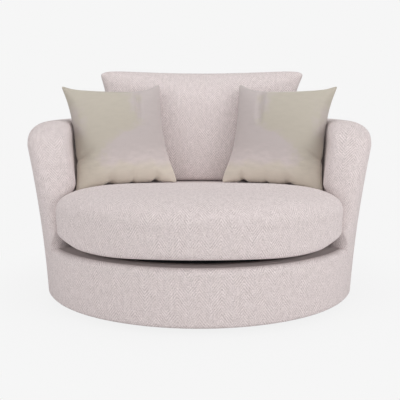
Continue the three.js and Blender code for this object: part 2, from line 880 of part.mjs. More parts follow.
function addSwivelPlates(group, chair, cage, finish) {
  const hole = swivel.pivotRadius + swivel.pivotClearance;
  const lower = [
    [hole, lowerPlateBottom],
    [swivel.plateRadius, lowerPlateBottom],
    [swivel.plateRadius, lowerPlateTop],
    ...raceGroove(lowerPlateTop, 1),
    [hole, lowerPlateTop],
    [hole, lowerPlateBottom],
  ];
  addPiece(group, "lower_swivel_plate", revolved(lower, counts.plate), finish.zincSteel);

  const side = swivel.topPlateSide / 2;
  const corner = swivel.topPlateCorner;
  const outline = new THREE.Shape();
  outline.moveTo(side - corner, -side);
  outline.absarc(side - corner, -side + corner, corner, -rightAngle, 0, false);
  outline.absarc(side - corner, side - corner, corner, 0, rightAngle, false);
  outline.absarc(-side + corner, side - corner, corner, rightAngle, 2 * rightAngle, false);
  outline.absarc(-side + corner, -side + corner, corner, 2 * rightAngle, 3 * rightAngle, false);
  outline.holes.push(circlePath(0, 0, hole));
  for (const [x, y] of boltPlaces()) {
    outline.holes.push(circlePath(x, y, swivel.boltRadius + fit.touch));
  }
  const mouth = raceGroove(upperPlateBottom, -1);
  const under = upperPlateBottom - fit.overrun;
  const groove = revolved([
    [mouth[3][0], under], [mouth[0][0], under], mouth[0], mouth[1], mouth[2], mouth[3], [mouth[3][0], under],
  ], counts.plate);
  const upper = cut(plate(outline, upperPlateBottom, swivel.plateThickness), groove);
  addPiece(chair, "upper_swivel_plate", upper, finish.zincSteel);

  const [width, height] = [swivel.cageWidth / 2, swivel.cageThickness / 2];
  const [inside, outside] = [swivel.raceRadius - width, swivel.raceRadius + width];
  const band = flatRing(inside, outside, ballHeight - height, ballHeight + height, counts.plate);
  const balls = [];
  for (let i = 0; i < ballCount; i += 1) {
    const place = polar(fullTurn * i / ballCount, swivel.raceRadius, ballHeight);
    const ball = new THREE.SphereGeometry(swivel.ballRadius, 6, 4).rotateX(rightAngle);
    balls.push(ball.translate(place.x, place.y, place.z));
  }
  addPiece(cage, "ball_cage", join(band, ...balls), finish.cage);
}

function addFasteners(group, chair, finish) {
  const headTop = lowerPlateBottom - fit.touch;
  const nutBottom = upperPlateTop + fit.touch;
  const nutTop = nutBottom + swivel.nutHeight;
  const tail = nutTop + swivel.pivotTail;
  const bolt = revolved([
    [0, headTop - swivel.pivotHeadHeight],
    [swivel.pivotHeadRadius, headTop - swivel.pivotHeadHeight],
    [swivel.pivotHeadRadius, headTop],
    [swivel.pivotRadius, headTop],
    [swivel.pivotRadius, tail],
    [0, tail],
  ], counts.small);
  addPiece(group, "pivot_bolt", bolt, finish.zincSteel);
  const nut = new THREE.Shape();
  const flats = 6;
  for (let k = 0; k < flats; k += 1) {
    const angle = fullTurn * k / flats;
    const point = [swivel.nutRadius * Math.cos(angle), swivel.nutRadius * Math.sin(angle)];
    if (k === 0) nut.moveTo(...point);
    else nut.lineTo(...point);
  }
  nut.closePath();
  nut.holes.push(circlePath(0, 0, swivel.pivotRadius + fit.touch));
  addPiece(group, "pivot_nut", plate(nut, nutBottom, swivel.nutHeight), finish.zincSteel);
  boltPlaces().forEach(([x, y], i) => {
    const head = boardTop + fit.touch;
    const screw = revolved([
      [0, upperPlateBottom],
      [swivel.boltRadius, upperPlateBottom],
      [swivel.boltRadius, head],
      [swivel.boltHeadRadius, head],
      [swivel.boltHeadRadius, head + swivel.boltHeadHeight],
      [0, head + swivel.boltHeadHeight],
    ], counts.tube);
    addPiece(chair, `swivel_bolt_${i + 1}`, screw.translate(x, y, 0), finish.zincSteel);
  });
}

// Loose cushions

// A cushion's cover is its outer form less the space for the core, opened by the zip
function addCushion(group, name, form, zip, look) {
  const cover = cut(form(0), form(sewing.cover), zip);
  addPiece(group, `${name}_cover`, cover, look.cover);
  addPiece(group, `${name}_core`, form(sewing.cover + sewing.coreGap), look.core);
}

// Shares of a half width, closer together towards the edge
function edgeShares(steps, power) {
  const shares = [];
  for (let k = -steps; k <= steps; k += 1) {
    const reach = Math.sin(rightAngle * Math.abs(k) / steps) ** (2 / power);
    shares.push(Math.sign(k) * reach);
  }
  return shares;
}

function smooth(t) {
  const clamped = Math.min(1, Math.max(0, t));
  return clamped * clamped * (3 - 2 * clamped);
}

// The seat cushion's outline at a height: round in front, then close round each nose and along the wall
function seatStations(z, inset) {
  const edge = edgeRadius(z);
  const inner = innerRadius(z);
  const shift = (seat.gap + inset) / edge;
  const tip = noseAngle(z) - shift;
  const rim = edge - seat.gap - inset;
  const front = seat.frontRadius - inset;
  const cornerStart = tip - seat.cornerLength / edge;
  const half = [];
  for (let k = 0; k < counts.seatFrontSteps; k += 1) {
    half.push({ angle: cornerStart * k / counts.seatFrontSteps, radius: front });
  }
  for (let k = counts.seatCornerSteps; k >= 0; k -= 1) {
    const turn = rightAngle * k / counts.seatCornerSteps;
    const along = seat.cornerLength * (1 - Math.cos(turn) ** (2 / seatCornerPower));
    const share = Math.sin(turn) ** (2 / seatCornerPower);
    half.push({ angle: tip - along / edge, radius: rim + (front - rim) * share });
  }
  for (const station of noseStations(z, 0).slice(1)) {
    half.push({ angle: station.angle - shift, radius: rim - (edge - inner) * station.inner });
  }
  const full = half[half.length - 1].angle;
  for (let k = 1; k < counts.seatRearSteps; k += 1) {
    const angle = full + (2 * rightAngle - full) * k / counts.seatRearSteps;
    half.push({ angle, radius: rim - edge + inner });
  }
  const middle = { angle: 2 * rightAngle, radius: rim - edge + inner };
  const mirrored = half.slice(1).map(({ angle, radius }) => ({ angle: fullTurn - angle, radius }));
  return [...half, middle, ...mirrored.reverse()];
}

function seatTop(y) {
  return seatCrown - seat.rearDrop * smooth((y - seat.dropStart) / seat.dropLength);
}

// Over its upright side the cushion rounds over to its crown, and under it the lip tucks in to the deck
function seatForm(inset) {
  const upper = [1, 0.82, 0.62, 0.4, 0.18, 0].map((share) => {
    const reach = share === 1 ? 0 : Math.cos(rightAngle * share) ** (2 / seatPower);
    const drop = seat.topRound * (1 - Math.sin(rightAngle * share) ** (2 / seatPower));
    return seatStations(seatCrown - drop, inset).map(({ angle, radius }) => {
      const flat = polar(angle, radius * reach, 0);
      return flat.setZ(seatTop(flat.y) - inset - drop);
    });
  });
  const lower = [
    [seat.girthRise, 0],
    [seat.lipRise + inset, seat.lipTuck],
    [inset, seat.underReach],
  ].map(([rise, drawn]) => {
    const z = seatBottom + rise;
    return seatStations(z, inset).map(({ angle, radius }) => polar(angle, radius - drawn, z));
  });
  const middle = lower[0].map(() => new THREE.Vector3(0, 0, seatBottom + inset));
  return ringSolid([...upper, ...lower, middle]);
}

function backForm(inset) {
  const shares = edgeShares(counts.backSteps, backPower);
  const height = back.top - back.bottom;
  return pillowSolid(shares, (u, v, side) => {
    const rise = (v + 1) / 2;
    const edgeDrop = (back.topSag * (1 - u * u) + back.cornerDraw * u ** cornerPower) * smooth(rise);
    const z = back.bottom + inset + (height - 2 * inset) * rise - edgeDrop;
    const halfWidth = back.bottomHalfWidth + (back.topHalfWidth - back.bottomHalfWidth) * smooth(rise)
      - back.sideDraw * (1 - v * v) - back.cornerDraw * v ** cornerPower - inset;
    const x = u * halfWidth;
    const front = back.frontFoot + back.frontLean * (z - back.bottom)
      - back.frontCrown * (1 - u * u) * (1 - v * v) + inset;
    const rearRadius = innerRadius(z) - inset
      + back.rearRise * smooth((z - shell.shoulderHeight) / (back.top - shell.shoulderHeight));
    const rear = Math.sqrt(rearRadius ** 2 - x * x);
    const fullness = cushionFullness(u, backPower) * cushionFullness(v, backPower);
    const middle = (front + rear) / 2;
    return new THREE.Vector3(x, middle + side * (rear - middle) * fullness, z);
  });
}

function cushionFullness(share, power) {
  return Math.max(0, 1 - Math.abs(share) ** power) ** (1 / power);
}

function scatterForm(inset) {
  const shares = edgeShares(counts.scatterSteps, scatterPower);
  const half = scatter.side / 2 - inset;
  return pillowSolid(shares, (u, v, side) => {
    const draw = scatter.drawIn;
    const x = u * (half - draw * (1 - v * v) * u * u);
    const z = v * (half - draw * (1 - u * u) * v * v);
    const fullness = cushionFullness(u, scatterPower) * cushionFullness(v, scatterPower);
    return new THREE.Vector3(x, side * (scatter.thickness / 2 - inset) * fullness, z);
  });
}

function addCushions(group, finish) {
  const weave = { cover: finish.weave, core: finish.foam };
  const velvet = { cover: finish.velvet, core: finish.fibre };
  const zipMiddle = seatBottom + seat.girthRise + sewing.zipHeight;
  const seatZip = curvedWall({
    outer: (z) => innerRadius(z) + fit.overrun,
    inner: (z) => innerRadius(z) - 3 * sewing.cover,
    heights: [zipMiddle - sewing.zipHeight / 2, zipMiddle + sewing.zipHeight / 2],
    from: () => 2 * rightAngle - seat.zipAngle,
    to: () => 2 * rightAngle + seat.zipAngle,
    steps: 4,
  });
  addCushion(group, "seat_cushion", seatForm, seatZip, weave);
  const backMiddle = (back.frontFoot + innerRadius(back.bottom)) / 2;
  const backZip = new THREE.BoxGeometry(back.zipWidth, sewing.zipHeight, 8 * sewing.cover)
    .translate(0, backMiddle, back.bottom);
  addCushion(group, "back_cushion", backForm, backZip, weave);
  for (const [name, mirror] of [["scatter_cushion_left", -1], ["scatter_cushion_right", 1]]) {
    const holder = new THREE.Group();
    holder.rotation.set(-scatterTurn.roll, mirror * scatterTurn.lean, -mirror * scatterTurn.about, "XYZ");
    holder.position.set(mirror * scatter.centreX, scatter.centreY, scatter.centreZ);
    group.add(holder);
    const zip = new THREE.BoxGeometry(scatter.zipWidth, sewing.zipHeight, 8 * sewing.cover)
      .translate(0, 0, -scatter.side / 2 + scatter.drawIn);
    addCushion(holder, name, scatterForm, zip, velvet);
  }
}

// Materials and assembly

function material(color, roughness, metalness = 0) {
  return { color, roughness, metalness };
}

const finishes = {
  weave: material(0xd3c7c6, 0.95),
  velvet: material(0xbbb4aa, 0.9),
  wadding: material(0xf2f0ea, 1),
  foam: material(0xe9dfae, 0.95),
  fibre: material(0xf4f4f2, 1),
  felt: material(0x8c8a86, 1),
  lining: material(0x1d1d1f, 0.95),
  fibreboard: material(0x8a6a48, 0.85),
  timber: material(0xd0ab77, 0.7),
  springSteel: material(0x6f7377, 0.4, 1),
  darkSteel: material(0x2a2b2d, 0.45, 0.6),
  zincSteel: material(0xb4b8bb, 0.35, 1),
  cage: material(0x3a5d8f, 0.5),
  glide: material(0x1a1a1b, 0.6),
};

function addPiece(parent, name, geometry, finish) {
  const bare = geometry.index ? geometry.clone() : mergeVertices(geometry);
  bare.deleteAttribute("normal");
  bare.deleteAttribute("uv");
  const mesh = new THREE.Mesh(mergeVertices(bare, weld.fine), new THREE.MeshStandardMaterial(finish));
  mesh.name = name;
  parent.add(mesh);
}

function buildChair() {
  const chair = new THREE.Group();
  const base = new THREE.Group();
  const cage = new THREE.Group();
  addFloorRing(base, finishes);
  addSwivelPlates(base, chair, cage, finishes);
  addFasteners(base, chair, finishes);
  addSwivelBoard(chair, finishes);
  addRings(chair, finishes);
  addRibs(chair, finishes);
  addPanels(chair, finishes);
  addSprings(chair, finishes);
  addPlatform(chair, finishes);
  addShell(chair, finishes);
  addCushions(chair, finishes);
  const whole = new THREE.Group();
  whole.add(base, cage, chair);
  whole.position.set(0, axisY, 0);
  return whole;
}

export default buildChair();
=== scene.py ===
"""Looks of a round swivel cuddle chair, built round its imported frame.

Everything is in metres, with +Z up and the front towards -Y. Plan angles are measured about the swivel
axis, from the front (0) over the right-hand arm to the middle of the back (half a turn).
"""

import json
import math

import bmesh
import bpy
import numpy as np
from mathutils import Euler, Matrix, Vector


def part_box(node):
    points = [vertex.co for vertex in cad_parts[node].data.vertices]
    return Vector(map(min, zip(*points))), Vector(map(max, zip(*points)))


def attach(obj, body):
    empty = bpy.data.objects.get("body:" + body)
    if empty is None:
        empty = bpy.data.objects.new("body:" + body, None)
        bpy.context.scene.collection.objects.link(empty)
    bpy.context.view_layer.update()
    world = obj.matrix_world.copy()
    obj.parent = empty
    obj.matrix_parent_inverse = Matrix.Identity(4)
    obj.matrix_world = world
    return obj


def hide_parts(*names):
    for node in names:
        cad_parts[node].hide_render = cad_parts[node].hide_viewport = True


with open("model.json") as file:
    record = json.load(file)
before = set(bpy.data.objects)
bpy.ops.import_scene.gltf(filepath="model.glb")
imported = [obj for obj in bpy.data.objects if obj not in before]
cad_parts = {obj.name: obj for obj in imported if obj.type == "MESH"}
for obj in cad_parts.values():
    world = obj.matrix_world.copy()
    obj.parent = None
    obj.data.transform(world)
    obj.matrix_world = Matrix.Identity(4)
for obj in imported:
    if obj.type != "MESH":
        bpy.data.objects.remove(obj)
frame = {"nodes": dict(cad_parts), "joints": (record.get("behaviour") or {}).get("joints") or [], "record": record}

bl_info = {
    "name": "Swivel cuddle chair",
    "version": (1, 0, 0),
    "blender": (4, 5, 0),
    "location": "View3D > Sidebar > Chair",
    "description": "Upholstery, cushions and studio for a round swivel cuddle chair",
    "category": "Add Mesh",
}

TURN = 2 * math.pi
QUARTER = math.pi / 2
AXIS_Y = frame["joints"][0]["pos_m"][1]
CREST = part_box("outside_cover")[1].z
BACK_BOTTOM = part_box("back_cushion_cover")[0].z


def srgb(red, green, blue):
    """Linear colour from 8-bit display values."""
    shares = np.array([red, green, blue]) / 255
    linear = np.where(shares <= 0.04045, shares / 12.92, ((shares + 0.055) / 1.055) ** 2.4)
    return tuple(float(x) for x in linear)


def length(name, default, description):
    return bpy.props.FloatProperty(
        name=name, default=default, description=description, unit="LENGTH", subtype="DISTANCE", precision=4)


def colour(name, default, description):
    return bpy.props.FloatVectorProperty(
        name=name, default=default, description=description, subtype="COLOR", size=3, min=0, max=1)


class ShellSizes(bpy.types.PropertyGroup):
    """Sizes of the upholstered drum and of the wall round the seat"""

    shoulder_radius: length("Shoulder radius", 0.650, "Outside radius at the top of the arms")
    foot_radius: length("Foot radius", 0.586, "Outside radius just above the hem")
    shoulder_height: length("Shoulder height", 0.580, "Height where the wall starts to round over")
    crest_height: length("Crest height", CREST, "Height of the top of the wall")
    deck_height: length("Deck height", 0.222, "Height of the drum's top edge")
    deck_edge: length("Deck edge", 0.020, "Radius of the drum's rounded top edge")
    inner_seat_radius: length("Inside radius at the seat", 0.498, "Radius inside the wall at the deck")
    inner_shoulder_radius: length("Inside radius at the shoulder", 0.518, "Radius inside the wall at the top")
    # Inside this radius the deck cloth is coloured darker as painted shade under the seat cushion
    decking_and_shade_radius: length("Decking radius", 0.574, "Edge of the plain cloth sewn in under the seat cushion")
    cloth: length("Cloth thickness", 0.0025, "Thickness of the upholstery cloth")


class CushionSizes(bpy.types.PropertyGroup):
    """Sizes of the loose cushions"""

    seat_front: length("Seat front radius", 0.598, "Radius of the seat cushion's round front")
    seat_round: length("Seat rounding", 0.108, "Height over which the seat cushion rounds over to its top")
    seat_crown: length("Seat crown", 0.450, "Height of the seat cushion's top")
    back_bottom: length("Back cushion bottom", BACK_BOTTOM, "Lowest edge of the back cushion")
    back_top: length("Back cushion top", 0.8666, "Height that the back cushion's corners reach towards")
    scatter_side: length("Scatter cushion side", 0.410, "Side of each scatter cushion")


class ClothColours(bpy.types.PropertyGroup):
    """Colours of the cloths and of what they lie against"""

    weave_light: colour("Weave, light thread", srgb(246, 235, 234), "Pale thread of the herringbone cloth")
    weave_dark: colour("Weave, dark thread", srgb(172, 160, 159), "Darker thread of the herringbone cloth")
    # The velvet's two tones are a painted sheen: the light off its brushed pile is painted in as sage and mauve by
    # place
    velvet_sage: colour("Velvet, sage", srgb(189, 182, 168), "Velvet seen against the pile")
    velvet_painted_sheen: colour("Velvet, mauve", srgb(193, 183, 183), "Velvet seen along the pile")
    # The deck cloth's colour is partly painted shade: darker than the weave for the shadow under the seat cushion
    decking_and_shade: colour("Decking", srgb(192, 181, 180), "Plain cloth on the deck under the seat cushion")
    lining: colour("Lining", srgb(38, 38, 40), "Cloth under the chair and over the springs")
    backdrop: colour("Backdrop", srgb(246, 246, 246), "Floor and background as the camera sees them")


# Shape of the shell


def polar(angle, radius, z):
    """Points at a plan angle, radius from the swivel axis and height."""
    angle, radius, z = np.broadcast_arrays(angle, radius, z)
    return np.stack([radius * np.sin(angle), AXIS_Y - radius * np.cos(angle), z], -1)


def smooth(t):
    """0 to 1 with level ends: 3 t squared less 2 t cubed."""
    t = np.clip(t, 0, 1)
    return t * t * (3 - 2 * t)


def bearing(angle):
    """Degrees from the front at a plan angle, the same to either side."""
    return np.degrees(np.abs(np.arctan2(np.sin(angle), np.cos(angle))))


def notch(share, place, width):
    """A bell curve of the distance from a place."""
    return np.exp(-((share - place) / width) ** 2)


STRAIGHT_FLARE, CURVED_FLARE = 0.42, 0.58
EDGE_SHARE, EDGE_SHIFT = 0.62, 0.29


def outer_radius(sizes, z):
    """The flare: a straight part that grows with t and a curved one with t squared, t the share of height."""
    t = np.minimum(z, sizes.shoulder_height) / sizes.shoulder_height
    spread_out = STRAIGHT_FLARE * t + CURVED_FLARE * t * t
    return sizes.foot_radius + (sizes.shoulder_radius - sizes.foot_radius) * spread_out


def rise_share(sizes, z):
    """Share of the way from the deck to the shoulder, not less than 0."""
    return np.maximum(0, (z - sizes.deck_height) / (sizes.shoulder_height - sizes.deck_height))


def inner_radius(sizes, z):
    """Inside of the wall: it leans back with the square of the rise."""
    t = np.minimum(1, rise_share(sizes, z))
    return sizes.inner_seat_radius + (sizes.inner_shoulder_radius - sizes.inner_seat_radius) * t * t


def edge_radius(sizes, z):
    """The line where the inside and outside meet, up each nose and along the crest."""
    t = np.minimum(1, rise_share(sizes, z))
    inner = inner_radius(sizes, z)
    return inner + (outer_radius(sizes, z) - inner) * (EDGE_SHARE - EDGE_SHIFT * t)


# Front of each arm: its plan angle, how far and how late it leans back, its rounding and its spread foot
NOSE_ANGLE = math.radians(62)
NOSE_LEAN, NOSE_SWEEP = math.radians(10.5), 2.2
NOSE_OUTER, NOSE_INNER, NOSE_POWER = 0.062, 0.110, 2.4
NOSE_FOOT = 0.090
CREST_POWER, ROW_POWER = 2.6, 1.5
# The arm swells beside the scatter cushion, from one bearing to the other and above a height
ARM_FILL, ARM_SQUARE = 0.0265, 0.5
ARM_START, ARM_START_BLEND = 58, 14
ARM_END, ARM_END_BLEND = 122, 26
ARM_LOW, ARM_LOW_BLEND = 0.385, 0.060
# The wall's foot starts just over the drum's rounded edge, and stands behind the edge of the deck's cloth
WALL_OVERLAP, WALL_SETBACK = 0.001, 0.0065


def nose_angle(sizes, z):
    """Plan angle of the arm front: it leans back as the wall rises, and turns over quickly at the crest."""
    over = np.maximum(0, (z - sizes.shoulder_height) / (sizes.crest_height - sizes.shoulder_height))
    return NOSE_ANGLE + NOSE_LEAN * rise_share(sizes, z) ** NOSE_SWEEP + NOSE_LEAN * over ** 3


def rounded(share, power):
    """Height of a rounded rim, from 0 at its edge to 1 at the given share of its length."""
    left = 1 - np.clip(share, 0, 1)
    return (1 - left ** power) ** (1 / power)


def arm_swell(angle, z):
    """1 where the arm swells beside the scatter cushion and 0 elsewhere, with soft borders."""
    aside = bearing(angle)
    between = smooth((aside - ARM_START) / ARM_START_BLEND) * smooth((ARM_END - aside) / ARM_END_BLEND)
    return between * smooth((z - ARM_LOW) / ARM_LOW_BLEND)


def wall_grid(sizes, nose_steps=14, round_steps=150, rise_steps=34, crest_steps=16):
    """The wall's cloth as rows of closed loops.

    Each loop runs outside from the right nose round the back to the left nose, and returns inside.
    A nose station lies along = length (1 - cos(turn) ** (2/n)) from the tip, and the wall's thickness
    there is a superellipse of that distance. Low down the nose spreads to the drum's edge. Rows rise to
    the shoulder, and then over the crest, where height = rise sin(turn) ** (2/m) and thickness =
    cos(turn) ** (2/m). Where the arms swell, the inside is filled out and its rounding is squared.
    """
    turn = QUARTER * np.linspace(0, 1, nose_steps + 1)
    along = NOSE_INNER * (1 - np.cos(turn) ** (2 / NOSE_POWER))
    over = QUARTER * np.linspace(0, 1, crest_steps + 1)[1:]
    rise = sizes.crest_height - sizes.shoulder_height
    bottom = sizes.deck_height - sizes.deck_edge + WALL_OVERLAP
    z = np.concatenate([
        bottom + (sizes.shoulder_height - bottom) * np.linspace(0, 1, rise_steps) ** ROW_POWER,
        sizes.shoulder_height + rise * np.sin(over) ** (2 / CREST_POWER),
    ])[:, None]
    thick = np.concatenate([np.ones(rise_steps), np.abs(np.cos(over)) ** (2 / CREST_POWER)])[:, None]
    thick[-1] = 0
    edge = edge_radius(sizes, z)
    front = nose_angle(sizes, z) + along / edge
    last = front[:, -1:]
    middle = last + (TURN - 2 * last) * np.linspace(0, 1, round_steps + 1)[1:-1]
    angle = np.hstack([front, middle, (TURN - front)[:, ::-1]])

    def ends(share):
        return np.concatenate([share, np.ones(round_steps - 1), share[::-1]])

    full = arm_swell(angle, z)
    foot_radius = sizes.inner_seat_radius + WALL_SETBACK
    inner = np.where(z < sizes.deck_height, foot_radius, inner_radius(sizes, z)) - ARM_FILL * full
    foot = smooth((sizes.deck_height + NOSE_FOOT - z) / NOSE_FOOT)
    reach = ends(rounded(along / NOSE_OUTER, NOSE_POWER))
    reach = reach + (1 - reach) * foot
    outside = edge + (outer_radius(sizes, z) - edge) * thick * reach
    inwards = thick * ends(rounded(along / NOSE_INNER, NOSE_POWER))
    inside = edge - (edge - inner) * inwards ** (1 - ARM_SQUARE * full)
    return np.hstack([polar(angle, outside, z), polar(angle, inside, z)[:, ::-1]])


def running(points, axis):
    """Distance run along a grid line from its first point."""
    steps = np.linalg.norm(np.diff(points, axis=axis), axis=-1)
    pad = [(0, 0), (0, 0)]
    pad[axis] = (1, 0)
    return np.pad(np.cumsum(steps, axis=axis), pad)


# The drum's hem, as radius beyond the foot and height, and the rings of its deck inside the decking's edge
HEM = ((-0.034, 0.0203), (-0.022, 0.0200), (-0.0125, 0.0204), (-0.0060, 0.0228), (-0.0020, 0.0265))
SIDE_BOTTOM = 0.031
DECK_RINGS, DECK_DIP = (0.550, 0.527, 0.5072, 0.5055), 0.004


def drum_grid(sizes, steps=240, side_steps=22, edge_steps=8):
    """The drum's cloth: a profile from the hem's turned-in edge up to the deck, carried round the axis."""
    foot, edge = sizes.foot_radius, sizes.deck_edge
    shoulder = sizes.deck_height - edge
    turn = QUARTER * np.linspace(0, 1, edge_steps + 1)[1:]
    hem = np.array(HEM)
    rise = np.linspace(SIDE_BOTTOM, shoulder, side_steps)
    radius = np.concatenate([
        foot + hem[:, 0],
        outer_radius(sizes, rise),
        outer_radius(sizes, shoulder) - edge * (1 - np.cos(turn)),
        [sizes.decking_and_shade_radius, *DECK_RINGS],
    ])
    height = np.concatenate([
        hem[:, 1],
        rise,
        shoulder + edge * np.sin(turn),
        [sizes.deck_height] * len(DECK_RINGS) + [sizes.deck_height - DECK_DIP],
    ])
    angle = np.linspace(-math.pi, math.pi, steps + 1)
    points = polar(angle[None, :], radius[:, None], height[:, None])
    up = running(np.stack([radius, height], -1)[:, None, :], 0)[:, 0]
    return points, np.stack(np.broadcast_arrays(angle[None, :] * foot, up[:, None]), -1)


# Mesh making


def weld(patches):
    """One vertex list and face list from grids of points, with places that coincide made one.

    Each patch is (points, uv) on a grid of rows and columns. A quad that a pole or seam has narrowed
    becomes a triangle, and its corners keep their own places on the cloth.
    """
    points = np.concatenate([p.reshape(-1, 3) for p, _ in patches])
    uv = np.concatenate([t.reshape(-1, 2) for _, t in patches])
    _, first, inverse = np.unique(np.round(points, 6), axis=0, return_index=True, return_inverse=True)
    inverse = inverse.reshape(-1)
    corners, start = [], 0
    for grid, _ in patches:
        rows, columns = grid.shape[:2]
        place = start + np.arange(rows * columns).reshape(rows, columns)
        quads = [place[:-1, :-1], place[:-1, 1:], place[1:, 1:], place[1:, :-1]]
        corners.append(np.stack(quads, -1).reshape(-1, 4))
        start += rows * columns
    corners = np.concatenate(corners)
    vertex = inverse[corners]
    keep = vertex != np.roll(vertex, 1, axis=1)
    keep &= (keep.sum(1) >= 3)[:, None]
    counts = keep.sum(1)
    counts = counts[counts > 0]
    return points[first], vertex[keep], uv[corners[keep]], counts


def add_object(name, data):
    """A new object of the scene."""
    thing = bpy.data.objects.new(name, data)
    bpy.context.scene.collection.objects.link(thing)
    return thing


def make_piece(name, patches, closed=True):
    """A mesh object from grids, with the cloth's own coordinates as its UV map."""
    points, vertex, uv, counts = weld(patches)
    mesh = bpy.data.meshes.new(name)
    mesh.vertices.add(len(points))
    mesh.vertices.foreach_set("co", points.ravel())
    mesh.loops.add(len(vertex))
    mesh.loops.foreach_set("vertex_index", vertex.astype(np.int32))
    mesh.polygons.add(len(counts))
    starts = np.concatenate([[0], np.cumsum(counts)[:-1]])
    mesh.polygons.foreach_set("loop_start", starts.astype(np.int32))
    mesh.update(calc_edges=True)
    layer = mesh.uv_layers.new(name="cloth")
    layer.data.foreach_set("uv", uv.astype(np.float32).ravel())
    mesh.validate()
    mesh.polygons.foreach_set("use_smooth", np.ones(len(mesh.polygons), bool))
    work = bmesh.new()
    work.from_mesh(mesh)
    bmesh.ops.recalc_face_normals(work, faces=work.faces)
    if closed and work.calc_volume(signed=True) < 0:
        bmesh.ops.reverse_faces(work, faces=work.faces)
    work.to_mesh(mesh)
    work.free()
    return add_object(name, mesh)


def vectors(items, name):
    """One row of three numbers for each vertex or face of a mesh."""
    values = np.empty(len(items) * 3)
    items.foreach_get(name, values)
    return values.reshape(-1, 3)


def put_points(mesh, points):
    mesh.vertices.foreach_set("co", points.ravel())
    mesh.update()


OUTSIDE_FROM = 0.58


def outward(piece):
    """Turns an open sheet's faces away from the axis, judged by the faces outside a radius."""
    mesh = piece.data
    places = vectors(mesh.polygons, "center")[:, :2] - (0, AXIS_Y)
    normals = vectors(mesh.polygons, "normal")[:, :2]
    far = np.linalg.norm(places, axis=1) > OUTSIDE_FROM
    if (places[far] * normals[far]).sum() < 0:
        mesh.flip_normals()


def flat(points):
    """A grid with its own x and y as cloth coordinates."""
    return points, points[..., :2].copy()


def settle(piece, materials, slot, *nodes):
    """The piece takes its materials, rides on the chair and stands for the nodes; the slot is not used."""
    for material in materials:
        piece.data.materials.append(material)
    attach(piece, "chair")
    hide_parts(*nodes)


def thicken(piece, thickness):
    """Gives a sheet its thickness, inwards from its face."""
    solidify = piece.modifiers.new("Thickness", "SOLIDIFY")
    solidify.thickness = thickness
    solidify.offset = -1


# Materials


def shade(tone, factor, plus=0.0):
    """A linear colour times a factor, with something added, and no part over 1."""
    return tuple(min(1, factor * share + plus) for share in tone)


class Nodes:
    """Short ways to add and join the nodes of a material or world."""

    def __init__(self, owner, output="OutputMaterial"):
        owner.use_nodes = True
        self.owner, self.tree = owner, owner.node_tree
        self.tree.nodes.clear()
        self.output = self.add(output)

    def add(self, kind, **settings):
        node = self.tree.nodes.new("ShaderNode" + kind)
        for name, value in settings.items():
            setattr(node, name, value)
        return node

    def join(self, value, socket):
        """Links an output to the socket, or writes a number, vector or colour there."""
        if isinstance(value, bpy.types.NodeSocket):
            self.tree.links.new(value, socket)
        elif socket.type == "RGBA":
            socket.default_value = (*value, 1)
        else:
            socket.default_value = value

    def set(self, node, **values):
        """Joins values to a node's inputs of those names, and gives its first output."""
        for name, value in values.items():
            self.join(value, node.inputs[name.replace("_", " ")])
        return node.outputs[0]

    def fill(self, node, *values):
        """Joins values to a node's inputs, in their order, and gives its first output."""
        for value, socket in zip(values, node.inputs):
            self.join(value, socket)
        return node.outputs[0]

    def maths(self, operation, *values):
        return self.fill(self.add("Math", operation=operation), *values)

    def plus(self, value, weight, base):
        """A value times its weight, added to a base."""
        return self.maths("MULTIPLY_ADD", value, weight, base)

    def times(self, value, other):
        return self.maths("MULTIPLY", value, other)

    def remap(self, value, low, high, to_low=0.0, to_high=1.0):
        node = self.add("MapRange", interpolation_type="SMOOTHSTEP")
        return self.fill(node, value, low, high, to_low, to_high)

    def centred(self, value):
        """A noise less its mean."""
        return self.maths("SUBTRACT", value, 0.5)

    def far(self, x, y):
        """Distance from the line where x and y are 0."""
        return self.maths("SQRT", self.plus(x, x, self.times(y, y)))

    def split(self, vector):
        """A vector, whole and then by its three parts."""
        node = self.add("SeparateXYZ")
        self.fill(node, vector)
        return vector, *node.outputs

    def cloth(self):
        """The piece's own cloth coordinates, in metres: across and along."""
        return self.split(self.add("UVMap", uv_map="cloth").outputs[0])[:3]

    def place(self):
        """Object coordinates."""
        return self.split(self.add("TexCoord").outputs["Object"])

    def noise(self, vector, scale, detail=2.0, roughness=0.5):
        """Noise at so many cells a metre, or a different number along each axis."""
        if isinstance(scale, tuple):
            vector, scale = self.set(self.add("Mapping"), Vector=vector, Scale=scale), 1.0
        return self.set(self.add("TexNoise"), Vector=vector, Scale=scale, Detail=detail, Roughness=roughness)

    def mix(self, share, first, second):
        node = self.add("Mix", data_type="RGBA")
        for value, socket in ((share, 0), (first, 6), (second, 7)):
            self.join(value, node.inputs[socket])
        return node.outputs[2]

    def seen(self):
        """1 for the rays by which a background is seen, also in metal and through glass."""
        path = self.add("LightPath").outputs
        seen = self.maths("MAXIMUM", path["Is Camera Ray"], path["Is Glossy Ray"])
        return self.maths("MAXIMUM", seen, path["Is Transmission Ray"])

    def blend(self, share, first, second):
        """Shows the first shader where the share is 0 and the second where it is 1."""
        mixed = self.fill(self.add("MixShader"), share, first.outputs[0], second.outputs[0])
        self.join(mixed, self.output.inputs["Surface"])


class Finish(Nodes):
    """A material on one principled shader."""

    def __init__(self, name):
        super().__init__(bpy.data.materials.new(name))
        self.surface = self.add("BsdfPrincipled")
        self.join(self.surface.outputs["BSDF"], self.output.inputs["Surface"])

    def look(self, **values):
        self.set(self.surface, **values)

    def bump(self, height, strength, distance):
        self.look(Normal=self.set(self.add("Bump"), Strength=strength, Distance=distance, Height=height))


# Herringbone: width of a column, distance between ribs, and their climb across a column
COLUMN, PITCH, CLIMB = 0.0355, 0.0122, 1.36


